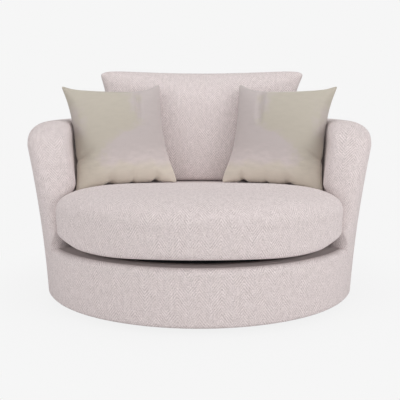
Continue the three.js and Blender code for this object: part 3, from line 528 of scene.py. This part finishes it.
def herringbone(name, light, dark):
    """Herringbone cloth: slanting ribs whose lean changes at every column, broken up by slubs and flecks."""
    n = Finish(name)
    vector, across, along = n.cloth()
    column = n.maths("PINGPONG", across, COLUMN)
    slant = n.plus(column, CLIMB, along)
    slant = n.plus(n.noise(vector, 30.0), 0.004, slant)
    rib = n.maths("SINE", n.times(slant, TURN / PITCH))
    yarn = n.maths("SINE", n.times(slant, 3 * TURN / PITCH))
    fleck = n.noise(vector, (300.0, 240.0, 1.0), 2.0, 0.6)
    slub = n.noise(vector, (95.0, 42.0, 1.0), 2.0, 0.6)
    worn = n.remap(n.noise(vector, 24.0), 0.35, 0.65, 0.04, 0.21)
    share = n.plus(rib, worn, 0.5)
    for value, weight in ((yarn, 0.04), (n.centred(fleck), 1.25), (n.centred(slub), 0.55)):
        share = n.plus(value, weight, share)
    n.look(Base_Color=n.mix(n.maths("MINIMUM", n.maths("MAXIMUM", share, 0.0), 1.0), dark, light))
    n.look(Roughness=0.95, Sheen_Weight=0.1, Sheen_Roughness=0.5, Specular_IOR_Level=0.2)
    n.bump(n.plus(rib, 0.4, fleck), 0.4, 0.0012)
    return n.owner


# Painted light that makes the pile paler low down and in some random blotches, and the darker tone of deep pile
PALE_PAINTED_LIGHT, DEEP = 1.38, 0.84


def velvet(name, sage, mauve):
    """Velvet whose pile is brushed two ways, with its sheen painted into its colour by place.

    It shows a painted mauve sheen towards the cushion's inner side, in a band that reaches across low down
    and in a patch by the outer side, and sage elsewhere and along the bottom. The two run into each other
    in soft blotches. Low down the pile is painted paler, as painted light where the lower half faces down.
    blotches, and the pile is paler low down.
    """
    n = Finish(name)
    vector, across, along = n.cloth()
    wander = n.centred(n.noise(vector, 9.0, 3.0))
    blotch = n.centred(n.noise(vector, 26.0, 3.0, 0.6))
    side = n.plus(blotch, 0.16, n.plus(wander, 0.18, across))
    border = n.remap(along, -0.06, 0.05, -0.10, 0.055)
    inner = n.remap(n.maths("SUBTRACT", side, border), -0.040, 0.045, 0.0, 1.0)
    height = n.plus(wander, 0.10, along)
    patch = n.remap(side, -0.185, -0.130, 0.6, 0.0)
    patch = n.times(patch, n.remap(height, -0.03, 0.03))
    patch = n.times(patch, n.remap(height, 0.09, 0.15, 1.0, 0.0))
    bottom = n.remap(height, -0.150, -0.105, 0.12, 1.0)
    # The share of mauve is a painted sheen, placed by position on the cushion
    share = n.times(n.maths("MAXIMUM", inner, patch), bottom)
    share = n.plus(share, 0.76, 0.12)
    pile = n.noise(vector, 700.0, 2.0, 0.6)
    brushed = n.noise(vector, (22.0, 60.0, 1.0), 3.0, 0.6)
    depth = n.plus(n.centred(brushed), 0.7, 0.3)
    depth = n.plus(n.centred(pile), 0.6, depth)
    # Painted light: the pile is made paler low down, where the cushion's lower half faces down into shade
    depth = n.maths("ADD", depth, n.remap(along, -0.19, 0.02, -1.1, 0.0))
    tone, pale, deep = (n.mix(share, shade(sage, f), shade(mauve, f)) for f in (1.0, PALE_PAINTED_LIGHT, DEEP))
    tone = n.mix(n.remap(depth, -1.0, 0.1, 1.0, 0.0), tone, pale)
    n.look(Base_Color=n.mix(n.remap(depth, 0.1, 1.0), tone, deep))
    n.look(Roughness=0.85, Sheen_Weight=0.3, Sheen_Roughness=0.35, Specular_IOR_Level=0.15)
    n.bump(n.plus(pile, 0.6, brushed), 0.08, 0.0006)
    return n.owner


def felted(name, tone):
    """Nonwoven cloth or wadding: short fibres in every direction, with soft blotches."""
    n = Finish(name)
    vector = n.place()[0]
    fine = n.noise(vector, 260.0, 4.0, 0.7)
    share = n.plus(n.centred(n.noise(vector, 9.0)), 0.5, fine)
    n.look(Base_Color=n.mix(share, shade(tone, 0.85), shade(tone, 1.12)))
    n.look(Roughness=0.95, Specular_IOR_Level=0.2)
    n.bump(fine, 0.4, 0.0008)
    return n.owner


# Width over which the painted shade of the deck cloth fades into the weave's dark thread at its edge
PAINTED_SHADE_FADE = 0.034


def decking_and_shade(name, tone, edge_tone, sizes):
    """Plain cloth on the deck, darker as painted shade, faded towards the drum's front where light reaches under
    the cushion.
    """
    n = Finish(name)
    vector, x, y, _ = n.place()
    far = n.far(x, n.maths("SUBTRACT", y, AXIS_Y))
    fine = n.noise(vector, 400.0, 3.0, 0.7)
    share = n.remap(far, sizes.decking_and_shade_radius - PAINTED_SHADE_FADE, sizes.decking_and_shade_radius)
    cloth = n.mix(share, tone, edge_tone)
    n.look(Base_Color=n.mix(n.remap(fine, 0.3, 0.7, 0.0, 0.35), cloth, shade(tone, 0.7)))
    n.look(Roughness=0.95, Specular_IOR_Level=0.2)
    n.bump(fine, 0.3, 0.0006)
    return n.owner


def timber(name, light, dark, ply=0.0):
    """Sawn timber or plywood: long grain, darker late wood and, on plywood, its plies at the edge."""
    n = Finish(name)
    vector, _, _, z = n.place()
    grain = n.noise(vector, (14.0, 90.0, 90.0), 4.0, 0.65)
    pores = n.noise(vector, (60.0, 700.0, 700.0))
    share = n.plus(n.centred(pores), 0.4, grain)
    if ply:
        layer = n.maths("SINE", n.times(z, TURN / ply))
        share = n.plus(layer, 0.12, share)
    n.look(Base_Color=n.mix(n.remap(share, 0.25, 0.75), dark, light))
    n.look(Roughness=0.62)
    n.bump(share, 0.25, 0.0005)
    return n.owner


def metal(name, tone, roughness, coated):
    """Steel: powder coat with a fine orange peel, or bare or zinc-plated with a clouded spangle."""
    metallic, scale, strength = (0.0, 650.0, 0.1) if coated else (1.0, 40.0, 0.03)
    n = Finish(name)
    vector = n.place()[0]
    peel = n.noise(vector, scale)
    scuff = n.noise(vector, (30.0, 180.0, 180.0), 3.0, 0.7)
    n.look(Base_Color=n.mix(n.remap(scuff, 0.55, 0.8, 0.0, 0.35), tone, shade(tone, 1.5, 0.02)))
    n.look(Metallic=metallic, Roughness=n.remap(peel, 0.3, 0.7, roughness - 0.06, roughness + 0.08))
    n.bump(peel, strength, 0.0003)
    return n.owner


def moulded(name, tone):
    """Moulded plastic: an even tone with a fine spark-eroded texture and light dust."""
    n = Finish(name)
    vector = n.place()[0]
    dust = n.noise(vector, 25.0, 3.0)
    n.look(Base_Color=n.mix(n.remap(dust, 0.5, 0.9, 0.0, 0.3), tone, shade(tone, 1.0, 0.05)))
    n.look(Roughness=0.5)
    n.bump(n.noise(vector, 1200.0), 0.12, 0.0002)
    return n.owner


# Cushions


FILL_STIFFNESS, FILL_BENDING, FILL_REACH = 12.0, 0.6, 0.008


def relax(piece, frames, pressure, hold=None):
    """Fills a cushion by cloth simulation and keeps each point within reach of where it was.

    Points that hold marks near 1 stay where they are: there the cushion lies against something.
    """
    before = vectors(piece.data.vertices, "co")
    group = piece.vertex_groups.new(name="held")
    held = np.zeros(len(before)) if hold is None else np.round(np.clip(hold, 0, 1), 2)
    for level in np.unique(held):
        group.add([int(i) for i in np.nonzero(held == level)[0]], float(level), "REPLACE")
    cloth = piece.modifiers.new("Filling", "CLOTH")
    settings = cloth.settings
    settings.quality = 4
    settings.mass = 0.3
    settings.air_damping = 3.0
    settings.tension_stiffness = settings.compression_stiffness = FILL_STIFFNESS
    settings.shear_stiffness = FILL_STIFFNESS / 3
    settings.bending_stiffness = FILL_BENDING
    settings.use_pressure = True
    settings.uniform_pressure_force = pressure
    settings.vertex_group_mass = "held"
    settings.effector_weights.gravity = 0.0
    cloth.collision_settings.use_collision = False
    cloth.point_cache.frame_start = 1
    cloth.point_cache.frame_end = frames
    scene = bpy.context.scene
    for number in range(1, frames + 1):
        scene.frame_set(number)
    filled = piece.evaluated_get(bpy.context.evaluated_depsgraph_get())
    change = vectors(filled.to_mesh().vertices, "co") - before
    filled.to_mesh_clear()
    piece.modifiers.remove(cloth)
    piece.vertex_groups.remove(group)
    scene.frame_set(1)
    far = np.linalg.norm(change, axis=1, keepdims=True)
    change *= np.tanh(far / FILL_REACH) * FILL_REACH / np.maximum(far, 1e-9)
    put_points(piece.data, before + change)


def even_profile(power, width, height, steps):
    """A superellipse quarter, from its top to its side, at evenly spaced distances along its curve."""
    turn = QUARTER * np.linspace(0, 1, 2001)
    x, z = np.sin(turn) ** (2 / power), np.cos(turn) ** (2 / power)
    run = np.concatenate([[0], np.cumsum(np.hypot(np.diff(x) * width, np.diff(z) * height))])
    even = np.linspace(0, run[-1], steps + 1)
    return np.interp(even, run, x), np.interp(even, run, z)


SEAT_GAP, SEAT_CORNER, SEAT_CORNER_POWER = 0.0016, 0.110, 2.2
SEAT_POWER, SEAT_SEAM = 3.4, 0.035
SEAT_FALL, FALL_START, FALL_RUN = 0.041, -0.230, 0.350
SEAT_GIRTH, SEAT_BOTTOM = 0.290, 0.2225
LIP_LEVEL, LIP_DRAW, BASE_DRAW = 0.246, 0.026, 0.170
LIP_MIDDLE, LIP_DIP, LIP_RISE = 0.2475, 0.0085, 0.0185


def seat_outline(shell, sizes, z, front_steps=30, corner_steps=14, nose_steps=14, rear_steps=36):
    """Plan angles and radii of the seat cushion's outline at each height of the column z.

    It is round in front, and a superellipse quarter turns each corner in towards the arm. From there it
    keeps a small gap to the nose and to the inside of the wall. The last place is the first again.
    """
    edge, inner = edge_radius(shell, z), inner_radius(shell, z)
    shift, rim = SEAT_GAP / edge, edge - SEAT_GAP
    tip = nose_angle(shell, z) - shift
    front = (tip - SEAT_CORNER / edge) * np.linspace(0, 1, front_steps + 1)[:-1]
    turn = QUARTER * np.linspace(1, 0, corner_steps + 1)
    corner = tip - SEAT_CORNER * (1 - np.cos(turn) ** (2 / SEAT_CORNER_POWER)) / edge
    bulge = np.sin(turn) ** (2 / SEAT_CORNER_POWER)
    along = NOSE_INNER * (1 - np.cos(QUARTER * np.linspace(0, 1, nose_steps + 1)[1:]) ** (2 / NOSE_POWER))
    nose = tip + along / edge
    rear = nose[:, -1:] + (math.pi - nose[:, -1:]) * np.linspace(0, 1, rear_steps + 1)[1:]
    angle = np.hstack([front, corner, nose, rear])
    radius = np.hstack([
        sizes.seat_front + 0 * front,
        rim + (sizes.seat_front - rim) * bulge,
        rim - (edge - inner) * rounded(along / NOSE_INNER, NOSE_POWER),
        rim - edge + inner + 0 * rear,
    ])
    return np.hstack([angle, (TURN - angle)[:, -2::-1]]), np.hstack([radius, radius[:, -2::-1]])


def lip_level(angle):
    """Height of the seat cushion's lower edge: a bell curve's dip half way to each arm, then a step up."""
    away = bearing(angle)
    return LIP_MIDDLE - LIP_DIP * notch(away, 33, 16) + LIP_RISE * smooth((away - 44) / 14)


def seat_patches(shell, sizes):
    """The seat cushion in three panels that meet edge to edge: top, border and base.

    Over its upright side it rounds over to its crown by a superellipse, and its top falls to the rear by
    a smooth step. Under the girth the border tucks in by a quarter ellipse, and the base falls to the deck.
    """
    reach, level = even_profile(SEAT_POWER, sizes.seat_front, sizes.seat_round, 44)
    drop = sizes.seat_round * (1 - level)[:, None]
    angle, radius = seat_outline(shell, sizes, sizes.seat_crown - drop)
    upper = polar(angle, radius * reach[:, None], 0.0)
    fall = SEAT_FALL * smooth((upper[..., 1] - AXIS_Y - FALL_START) / FALL_RUN)
    upper[..., 2] = sizes.seat_crown - drop - fall

    side_top = sizes.seat_crown - sizes.seat_round
    left = np.linspace(1, 0, 8)[1:, None]
    nominal = SEAT_GIRTH + (side_top - SEAT_GIRTH) * left
    angle, radius = seat_outline(shell, sizes, nominal)
    side = polar(angle, radius, nominal - fall[-1:] * left)

    turn = QUARTER * np.linspace(0, 1, 12)[1:, None]
    angle, radius = seat_outline(shell, sizes, SEAT_GIRTH + (LIP_LEVEL - SEAT_GIRTH) * np.sin(turn))
    lip = polar(angle, radius - LIP_DRAW * (1 - np.cos(turn)),
                SEAT_GIRTH + (lip_level(angle) - SEAT_GIRTH) * np.sin(turn))

    share = np.linspace(0, 1, 14)[1:, None]
    angle, radius = seat_outline(shell, sizes, LIP_LEVEL + (SEAT_BOTTOM - LIP_LEVEL) * share)
    drawn, level = radius - LIP_DRAW - (BASE_DRAW - LIP_DRAW) * share, lip_level(angle)
    under = polar(angle, drawn, level + (SEAT_BOTTOM - level) * smooth(share))
    inwards = np.linspace(1, 0, 16)[1:, None]
    base = polar(angle[-1:], drawn[-1:] * inwards, SEAT_BOTTOM)

    seam = int(np.argmax(drop[:, 0] > SEAT_SEAM))
    border = np.concatenate([upper[seam:], side, lip])
    base = np.concatenate([lip[-1:], under, base])
    return [flat(upper[:seam + 1]), around(border, sizes.seat_front), flat(base)]


def around(points, radius):
    """A band round the axis and its cloth coordinates: arc length, and distance run down it."""
    angle = np.unwrap(np.arctan2(points[:1, :, 0], AXIS_Y - points[:1, :, 1]), axis=1)
    return points, np.stack(np.broadcast_arrays(angle * radius, -radius - running(points, 0)), -1)


def fullness(share, power):
    """Thickness across a pillow: (1 - share ** n) ** (1/n)."""
    return np.maximum(0, 1 - np.abs(share) ** power) ** (1 / power)


def spread(points):
    """A grid and its cloth coordinates: distance run across and along, counted from its middle."""
    row, column = points.shape[0] // 2, points.shape[1] // 2
    across, along = running(points, 1), running(points, 0)
    return points, np.stack([across - across[:, column:column + 1], along - along[row:row + 1]], -1)


def rim_grid(steps, even, power):
    """Grids of u and v from -1 to 1, where even steps are blended with steps that shorten to the rim."""
    line = np.linspace(-1, 1, steps + 1)
    drawn = np.sin(QUARTER * np.abs(line)) ** (2 / power)
    share = np.sign(line) * (even * np.abs(line) + (1 - even) * drawn)
    return np.meshgrid(share, share)


BACK_LEAN, BACK_LIFT, BACK_SAG, BACK_EDGE_SAG = 0.010, 0.0042, 0.023, 0.012
BACK_POWER, BACK_LOW_POWER = 4.2, 9.0
BACK_HALF, BACK_WIDEN, BACK_EAR, BACK_WAIST, BACK_DRAW = 0.386, 0.024, 0.026, 0.007, 0.006
BACK_FRONT, BACK_SLOPE, BACK_CROWN = 0.1625, 0.2, 0.022
CORNER_DROP, CORNER_DRAW = 0.007, 0.009
REAR_REACH, REAR_CREST_REACH = 0.001, 0.034


def back_patches(shell, sizes, steps=92):
    """The back cushion: two full faces over one grid, that meet round the rim.

    The front leans back, and crowns by (1 - u u)(1 - v v). The rear follows the wall behind it. The
    rim's corners stand up as soft ears, and the top edge sags between them. Low down the front stays full
    almost to the seat. The top leans a little to the right, as a loose cushion does.
    """
    u, v = rim_grid(steps, 0.5, BACK_POWER)
    rise = (v + 1) / 2
    sag = (BACK_SAG * (1 - u * u) + BACK_EDGE_SAG * np.abs(u) ** 12) * smooth(rise)
    z = sizes.back_bottom + BACK_LIFT * (1 - rise) + (sizes.back_top - sizes.back_bottom) * rise - sag
    half = BACK_HALF + BACK_WIDEN * rise ** 1.5 + BACK_EAR * rise ** 8
    half = half - BACK_WAIST * (1 - v * v) - BACK_DRAW * np.abs(v) ** 12
    corner = np.abs(u * v) ** 20 * (v > 0)
    z = z - CORNER_DROP * corner
    x = u * (half - CORNER_DRAW * corner) + BACK_LEAN * rise ** 3
    front = BACK_FRONT + BACK_SLOPE * (z - sizes.back_bottom) - BACK_CROWN * (1 - u * u) * (1 - v * v)
    over = smooth((z - shell.shoulder_height) / (sizes.back_top - shell.shoulder_height))
    radius = inner_radius(shell, z) - REAR_REACH + REAR_CREST_REACH * over
    rear = np.sqrt(radius ** 2 - x * x)
    middle = (front + rear) / 2
    full = fullness(u, BACK_POWER) * fullness(v, np.where(v < 0, BACK_LOW_POWER, BACK_POWER))
    half_depth = (rear - middle) * full
    return [spread(np.stack([x, AXIS_Y + middle + side * half_depth, z], -1)) for side in (-1, 1)]


# The right scatter cushion: its centre, its roll, lean and turn, and how its sides, corners and faces lie
SCATTER_CENTRE = (0.318, 0.0803, 0.6014)
SCATTER_TURN = np.radians((14.68, 8.6, 23.58))
SCATTER_THICKNESS, SCATTER_PRESS, SCATTER_POWER = 0.144, 0.018, 2.2
INNER_DRAW, OUTER_DRAW, TOP_DRAW, BOTTOM_DRAW = 0.017, 0.020, 0.025, 0.008
EAR, BLUNT, SPLAY = 0.012, 0.030, 0.012
CREASE, CREASE_DEPTH, FOLD, FOLD_DEPTH = 0.42, 0.013, -0.42, 0.009
PUCKER, BOTTOM_FOLDS = 0.004, ((-0.34, 0.10, 0.010), (0.57, 0.06, 0.010), (0.12, 0.04, 0.006))


def hollow(share, middle, power=1.6):
    """1 at the middle of a side and 0 at both of its ends, each side of the middle scaled to fit."""
    reach = np.where(share < middle, 1 + middle, 1 - middle)
    return 1 - np.clip(np.abs(share - middle) / reach, 0, 1) ** power


def scatter_patches(side, steps=72):
    """A scatter cushion in its own plane, with its inner side towards +X and its front towards -Y.

    Its sides pull in between soft pointed corners: the top one most where a crease starts, the outer one
    at a pucker, and the bottom one at three small folds. The lower inner corner splays out over the seat.
    A crease runs down the front from the top, and the rear is pressed flatter where it leans on the back.
    """
    u, v = rim_grid(steps, 0.45, SCATTER_POWER)
    outer = OUTER_DRAW * hollow(v, 0.2, 2.0) + PUCKER * notch(v, FOLD, 0.06)
    top = TOP_DRAW * hollow(u, CREASE)
    bottom = BOTTOM_DRAW * hollow(u, 0.0)
    for place, width, depth in BOTTOM_FOLDS:
        bottom = bottom + depth * notch(u, place, width)
    x = u * side / 2 - np.where(u > 0, INNER_DRAW * hollow(v, 0.0), -outer) * np.abs(u) ** 3
    z = v * side / 2 - np.where(v > 0, top, -bottom) * np.abs(v) ** 3
    ear = EAR * np.abs(u * v) ** 7 * np.where(u < 0, 1, 0.4)
    blunt = 1 - BLUNT * np.abs(u * v) ** 30
    splay = SPLAY * smooth(u) * smooth(-v) ** 2
    x, z = (x + 0.5 * ear * np.sign(u)) * blunt + splay, (z + ear * np.sign(v)) * blunt
    full = fullness(u, SCATTER_POWER) * fullness(v, SCATTER_POWER)
    crease = notch(u, CREASE + 0.10 * (v - 1), 0.055) * smooth((v + 0.05) / 0.5) * (1 - v ** 12)
    fold = notch(v - FOLD, 0.35 * (u + 1), 0.05) * smooth((-0.55 - u) / 0.35)
    half_depth = SCATTER_THICKNESS / 2 * full
    front = -half_depth - splay / 2 + (CREASE_DEPTH * crease + FOLD_DEPTH * fold) * smooth(full / 0.3)
    rear = half_depth - splay / 2 - SCATTER_PRESS * smooth((u + 0.4) / 0.6) * full
    return [spread(np.stack([x, y, z], -1)) for y in (front, rear)]


# The wall's weave: a larger scale, measured along one row of the grid, with its ribs moved up
WALL_WEAVE, WEAVE_ROW, WEAVE_SHIFT = 1.12, 25, 0.19
# Where the seat cushion is held while it fills: below a height and behind a line
SEAT_LOW, SEAT_LOW_BLEND = 0.27, 0.03
SEAT_BEHIND, SEAT_BEHIND_BLEND = -0.46, 0.14
# Where the back cushion is held: beyond a radius and below a height, and near its bottom
BACK_AGAINST, BACK_AGAINST_TOP, BACK_LOW = 0.44, 0.66, 0.06


def upholster(piece, material, slot):
    """A cushion takes its cloth and stands for the cover and core of its name."""
    settle(piece, [material], slot, piece.name + "_cover", piece.name + "_core")


class CHAIR_OT_shell(bpy.types.Operator):
    """Make the herringbone covers of the drum and of the wall"""

    bl_idname = "chair.shell"
    bl_label = "Shell covers"

    def execute(self, context):
        sizes, colours = context.scene.chair_shell, context.scene.chair_colours
        weave = herringbone("herringbone_cloth", colours.weave_light, colours.weave_dark)
        # The deck cloth is partly painted shade: a darker sheet for the shadow under the seat cushion's front
        plain = decking_and_shade("decking_and_shade_cloth", colours.decking_and_shade, colours.weave_dark, sizes)
        wall = make_piece("wall_cover", [self.wall_cloth(wall_grid(sizes))], closed=False)
        drum = make_piece("drum_cover", [drum_grid(sizes)], closed=False)
        for piece in (wall, drum):
            outward(piece)
            thicken(piece, sizes.cloth)
        settle(wall, [weave], "weave", "inside_cover", "inner_foam")
        settle(drum, [weave, plain], "weave", "outside_cover", "outer_wadding")
        # Deck faces inside the cloth's radius take the painted-shade deck cloth
        for face in drum.data.polygons:
            far = math.hypot(face.center.x, face.center.y - AXIS_Y)
            face.material_index = int(far < sizes.decking_and_shade_radius and face.center.z > sizes.deck_height - 0.01)
        return {"FINISHED"}

    def wall_cloth(self, grid):
        """The wall's loops, closed, with cloth coordinates that run over the crest at the noses' tips."""
        grid = np.concatenate([grid, grid[:, :1]], 1)
        columns = grid.shape[1]
        middle, half = columns // 4, (columns - 1) // 2
        across = running(grid[WEAVE_ROW:WEAVE_ROW + 1], 1)
        across = across - across[:, middle:middle + 1]
        up = running(grid[:, middle:middle + 1], 0) + WEAVE_SHIFT
        tip = np.linalg.norm(grid[:, half] - grid[:, half - 1], axis=1)[:, None]
        turned = (np.arange(columns) >= half).astype(float)
        turned[-1] = 2
        return grid, WALL_WEAVE * np.stack(np.broadcast_arrays(across + tip * turned, up), -1)


class CHAIR_OT_seat_cushion(bpy.types.Operator):
    """Make the loose seat cushion"""

    bl_idname = "chair.seat_cushion"
    bl_label = "Seat cushion"

    def execute(self, context):
        scene = context.scene
        piece = make_piece("seat_cushion", seat_patches(scene.chair_shell, scene.chair_cushions))
        _, y, z = vectors(piece.data.vertices, "co").T
        low = smooth((SEAT_LOW - z) / SEAT_LOW_BLEND)
        behind = smooth((y - SEAT_BEHIND) / SEAT_BEHIND_BLEND)
        relax(piece, frames=10, pressure=1.6, hold=np.maximum(low, behind))
        upholster(piece, bpy.data.materials["herringbone_cloth"], "weave")
        return {"FINISHED"}


class CHAIR_OT_back_cushion(bpy.types.Operator):
    """Make the loose back cushion"""

    bl_idname = "chair.back_cushion"
    bl_label = "Back cushion"

    def execute(self, context):
        scene = context.scene
        piece = make_piece("back_cushion", back_patches(scene.chair_shell, scene.chair_cushions))
        x, y, z = vectors(piece.data.vertices, "co").T
        against = smooth((np.hypot(x, y - AXIS_Y) - BACK_AGAINST) / 0.04)
        against = against * smooth((BACK_AGAINST_TOP - z) / 0.03)
        low = smooth((scene.chair_cushions.back_bottom + BACK_LOW - z) / 0.04)
        relax(piece, frames=10, pressure=1.2, hold=np.maximum(low, against))
        upholster(piece, bpy.data.materials["herringbone_cloth"], "weave")
        return {"FINISHED"}


class CHAIR_OT_scatter_cushions(bpy.types.Operator):
    """Make the two velvet scatter cushions"""

    bl_idname = "chair.scatter_cushions"
    bl_label = "Scatter cushions"

    def execute(self, context):
        sizes, colours = context.scene.chair_cushions, context.scene.chair_colours
        roll, lean, about = SCATTER_TURN
        # The velvet's sage and mauve are a painted sheen, and its paler lower part is painted light
        pile = velvet("painted_sheen_velvet", colours.velvet_sage, colours.velvet_painted_sheen)
        for name, mirror in (("left", -1), ("right", 1)):
            piece = make_piece("scatter_cushion_" + name, scatter_patches(sizes.scatter_side))
            relax(piece, frames=12, pressure=2.0)
            turn = np.array(Euler((-roll, mirror * lean, -mirror * about), "ZYX").to_matrix())
            centre = np.array([mirror, 1, 1]) * SCATTER_CENTRE + (0, AXIS_Y, 0)
            points = vectors(piece.data.vertices, "co") * (-mirror, 1, 1)
            put_points(piece.data, points @ turn.T + centre)
            if mirror > 0:
                piece.data.flip_normals()
            upholster(piece, pile, "velvet")
        return {"FINISHED"}


DUST_SHEET_HOLE = 0.376


def disc_patches(inner, outer, bottom, top, steps=160, rings=3):
    """A flat ring or disc of cloth: its two faces and its rims, carried round the axis."""
    profile = np.array(
        [[r, bottom] for r in np.linspace(inner, outer, rings)]
        + [[r, top] for r in np.linspace(outer, inner, rings)] + [[inner, bottom]])
    angle = np.linspace(-math.pi, math.pi, steps + 1)
    points = polar(angle[None, :], profile[:, :1], profile[:, 1:])
    return [flat(points)]


class CHAIR_OT_platform(bpy.types.Operator):
    """Make the felt and cloth under the seat cushion, and the dust cover"""

    bl_idname = "chair.platform"
    bl_label = "Platform and dust cover"

    def execute(self, context):
        colours = context.scene.chair_colours
        lining = felted("lining_cloth", colours.lining)
        grey = felted("grey_felt", srgb(140, 138, 134))
        for name, node, slot, material in (
            ("platform_pad", "platform_felt", "felt", grey),
            ("platform_sheet", "platform_cloth", "lining", lining),
            ("dust_sheet", "dust_cover", "lining", lining),
        ):
            low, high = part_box(node)
            inner = DUST_SHEET_HOLE if node == "dust_cover" else 0.0
            radius = (high.x - low.x) / 2
            piece = make_piece(name, disc_patches(inner, radius, low.z, high.z))
            settle(piece, [material], slot, node)
        return {"FINISHED"}


class CHAIR_OT_frame_finishes(bpy.types.Operator):
    """Give the timber frame and the swivel base their finishes"""

    bl_idname = "chair.frame_finishes"
    bl_label = "Frame finishes"

    def execute(self, context):
        finishes = {
            "timber": timber("sawn_timber", srgb(214, 178, 128), srgb(178, 138, 92)),
            "plywood": timber("birch_plywood", srgb(216, 186, 142), srgb(184, 148, 104), ply=0.0030),
            "fibreboard": timber("fibreboard", srgb(146, 112, 78), srgb(118, 88, 60)),
            "spring_steel": metal("oiled_spring_steel", srgb(118, 120, 124), 0.38, False),
            "dark_steel": metal("powder_coated_steel", srgb(42, 43, 45), 0.45, True),
            "zinc_steel": metal("zinc_plated_steel", srgb(190, 192, 194), 0.34, False),
            "cage_plastic": moulded("cage_plastic", srgb(58, 93, 143)),
            "glide_plastic": moulded("glide_plastic", srgb(28, 28, 29)),
        }
        slots = {row["node"]: row["material_slot"] for row in frame["record"]["subparts"]}
        boards = ("swivel_board", "bottom_ring", "seat_ring")
        for name, node in frame["nodes"].items():
            finish = "plywood" if name in boards else slots[name]
            if finish in finishes:
                node.data.materials.clear()
                node.data.materials.append(finishes[finish])
        return {"FINISHED"}


LENS, SENSOR, SHIFT_X, CAMERA_DOWN = 69.79, 36.0, 0.0015, 8.53
CAMERA_BACK, CAMERA_HEIGHT = 3.0, 0.807
WORLD_STRENGTH, FLOOR_HALF, FLOOR_TONE = 0.30, 14.0, (0.86, 0.86, 0.86)
FLOOR_NEAR, FLOOR_FAR, FLOOR_SEEN = 0.5, 1.1, 0.93
# The point that the lamps shine at, and each lamp's name, place, size and power
LAMP_AIM = (0.0, AXIS_Y, 0.4)
LAMPS = (
    ("front", (0.3, -4.6, 1.5), 2.0, 30.0),
    ("right", (3.6, -2.6, 1.6), 2.4, 72.0),
    ("left", (-3.6, -2.6, 1.6), 2.4, 51.0),
    ("top", (0.1, 0.0, 4.2), 2.6, 66.0),
)


class CHAIR_OT_studio(bpy.types.Operator):
    """Make the floor, the backdrop, the lights and the camera"""

    bl_idname = "chair.studio"
    bl_label = "Studio"

    def execute(self, context):
        scene, backdrop = context.scene, tuple(context.scene.chair_colours.backdrop)
        scene.view_settings.view_transform = "Standard"
        self.camera(scene)
        self.world(scene, backdrop)
        self.floor(backdrop)
        for lamp in LAMPS:
            self.lamp(*lamp)
        return {"FINISHED"}

    def camera(self, scene):
        data = bpy.data.cameras.new("camera")
        data.lens, data.sensor_width, data.shift_x = LENS, SENSOR, SHIFT_X
        data.clip_start, data.clip_end = 0.05, 60.0
        camera = add_object("camera", data)
        camera.location = (0.0, AXIS_Y - CAMERA_BACK, CAMERA_HEIGHT)
        camera.rotation_euler = (math.radians(90 - CAMERA_DOWN), 0.0, 0.0)
        scene.camera = camera

    def world(self, scene, backdrop):
        """A plain pale world that the camera and glossy rays see as the backdrop's colour."""
        scene.world = bpy.data.worlds.new("studio")
        n = Nodes(scene.world, "OutputWorld")
        seen, cast = n.add("Background"), n.add("Background")
        n.fill(seen, backdrop)
        n.fill(cast, (1.0, 1.0, 1.0), WORLD_STRENGTH)
        n.blend(n.seen(), cast, seen)

    def floor(self, backdrop):
        """A pale floor that the camera sees almost as the backdrop, and wholly so away from the chair."""
        line = np.linspace(-FLOOR_HALF, FLOOR_HALF, 9)
        x, y = np.meshgrid(line, line)
        points = np.stack([x, y, np.zeros_like(x)], -1)
        floor = make_piece("floor", [flat(points)], closed=False)
        if floor.data.polygons[0].normal.z < 0:
            floor.data.flip_normals()
        n = Finish("studio_floor")
        n.look(Base_Color=FLOOR_TONE, Roughness=0.9, Specular_IOR_Level=0.1)
        glow = n.add("Emission")
        n.fill(glow, backdrop)
        _, x, y, _ = n.place()
        level = n.remap(n.far(x, y), FLOOR_NEAR, FLOOR_FAR, FLOOR_SEEN, 1.0)
        n.blend(n.times(n.seen(), level), n.surface, glow)
        floor.data.materials.append(n.owner)

    def lamp(self, name, place, size, power):
        data = bpy.data.lights.new(name, "AREA")
        data.shape, data.size, data.energy = "SQUARE", size, power
        lamp = add_object(name, data)
        lamp.location = place
        lamp.rotation_euler = (Vector(place) - Vector(LAMP_AIM)).to_track_quat("Z", "Y").to_euler()


class CHAIR_PT_panel(bpy.types.Panel):
    """Sizes, colours and steps of the chair"""

    bl_label = "Cuddle chair"
    bl_idname = "CHAIR_PT_panel"
    bl_space_type = "VIEW_3D"
    bl_region_type = "UI"
    bl_category = "Chair"

    def draw(self, context):
        for group, settings in GROUPS.items():
            box = self.layout.box()
            for name in settings.__annotations__:
                box.prop(getattr(context.scene, group), name)
        for operator in OPERATORS:
            self.layout.operator(operator.bl_idname)


GROUPS = {"chair_shell": ShellSizes, "chair_cushions": CushionSizes, "chair_colours": ClothColours}
OPERATORS = (
    CHAIR_OT_studio,
    CHAIR_OT_shell,
    CHAIR_OT_seat_cushion,
    CHAIR_OT_back_cushion,
    CHAIR_OT_scatter_cushions,
    CHAIR_OT_platform,
    CHAIR_OT_frame_finishes,
)


def register():
    for cls in (*GROUPS.values(), *OPERATORS, CHAIR_PT_panel):
        bpy.utils.register_class(cls)
    for name, group in GROUPS.items():
        setattr(bpy.types.Scene, name, bpy.props.PointerProperty(type=group))


def unregister():
    for name in GROUPS:
        delattr(bpy.types.Scene, name)
    for cls in (CHAIR_PT_panel, *reversed(OPERATORS), *GROUPS.values()):
        bpy.utils.unregister_class(cls)


def main():
    """Makes every piece in order."""
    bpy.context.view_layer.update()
    register()
    for operator in OPERATORS:
        getattr(bpy.ops.chair, operator.bl_idname.split(".")[1])()


if __name__ == "__main__":
    main()
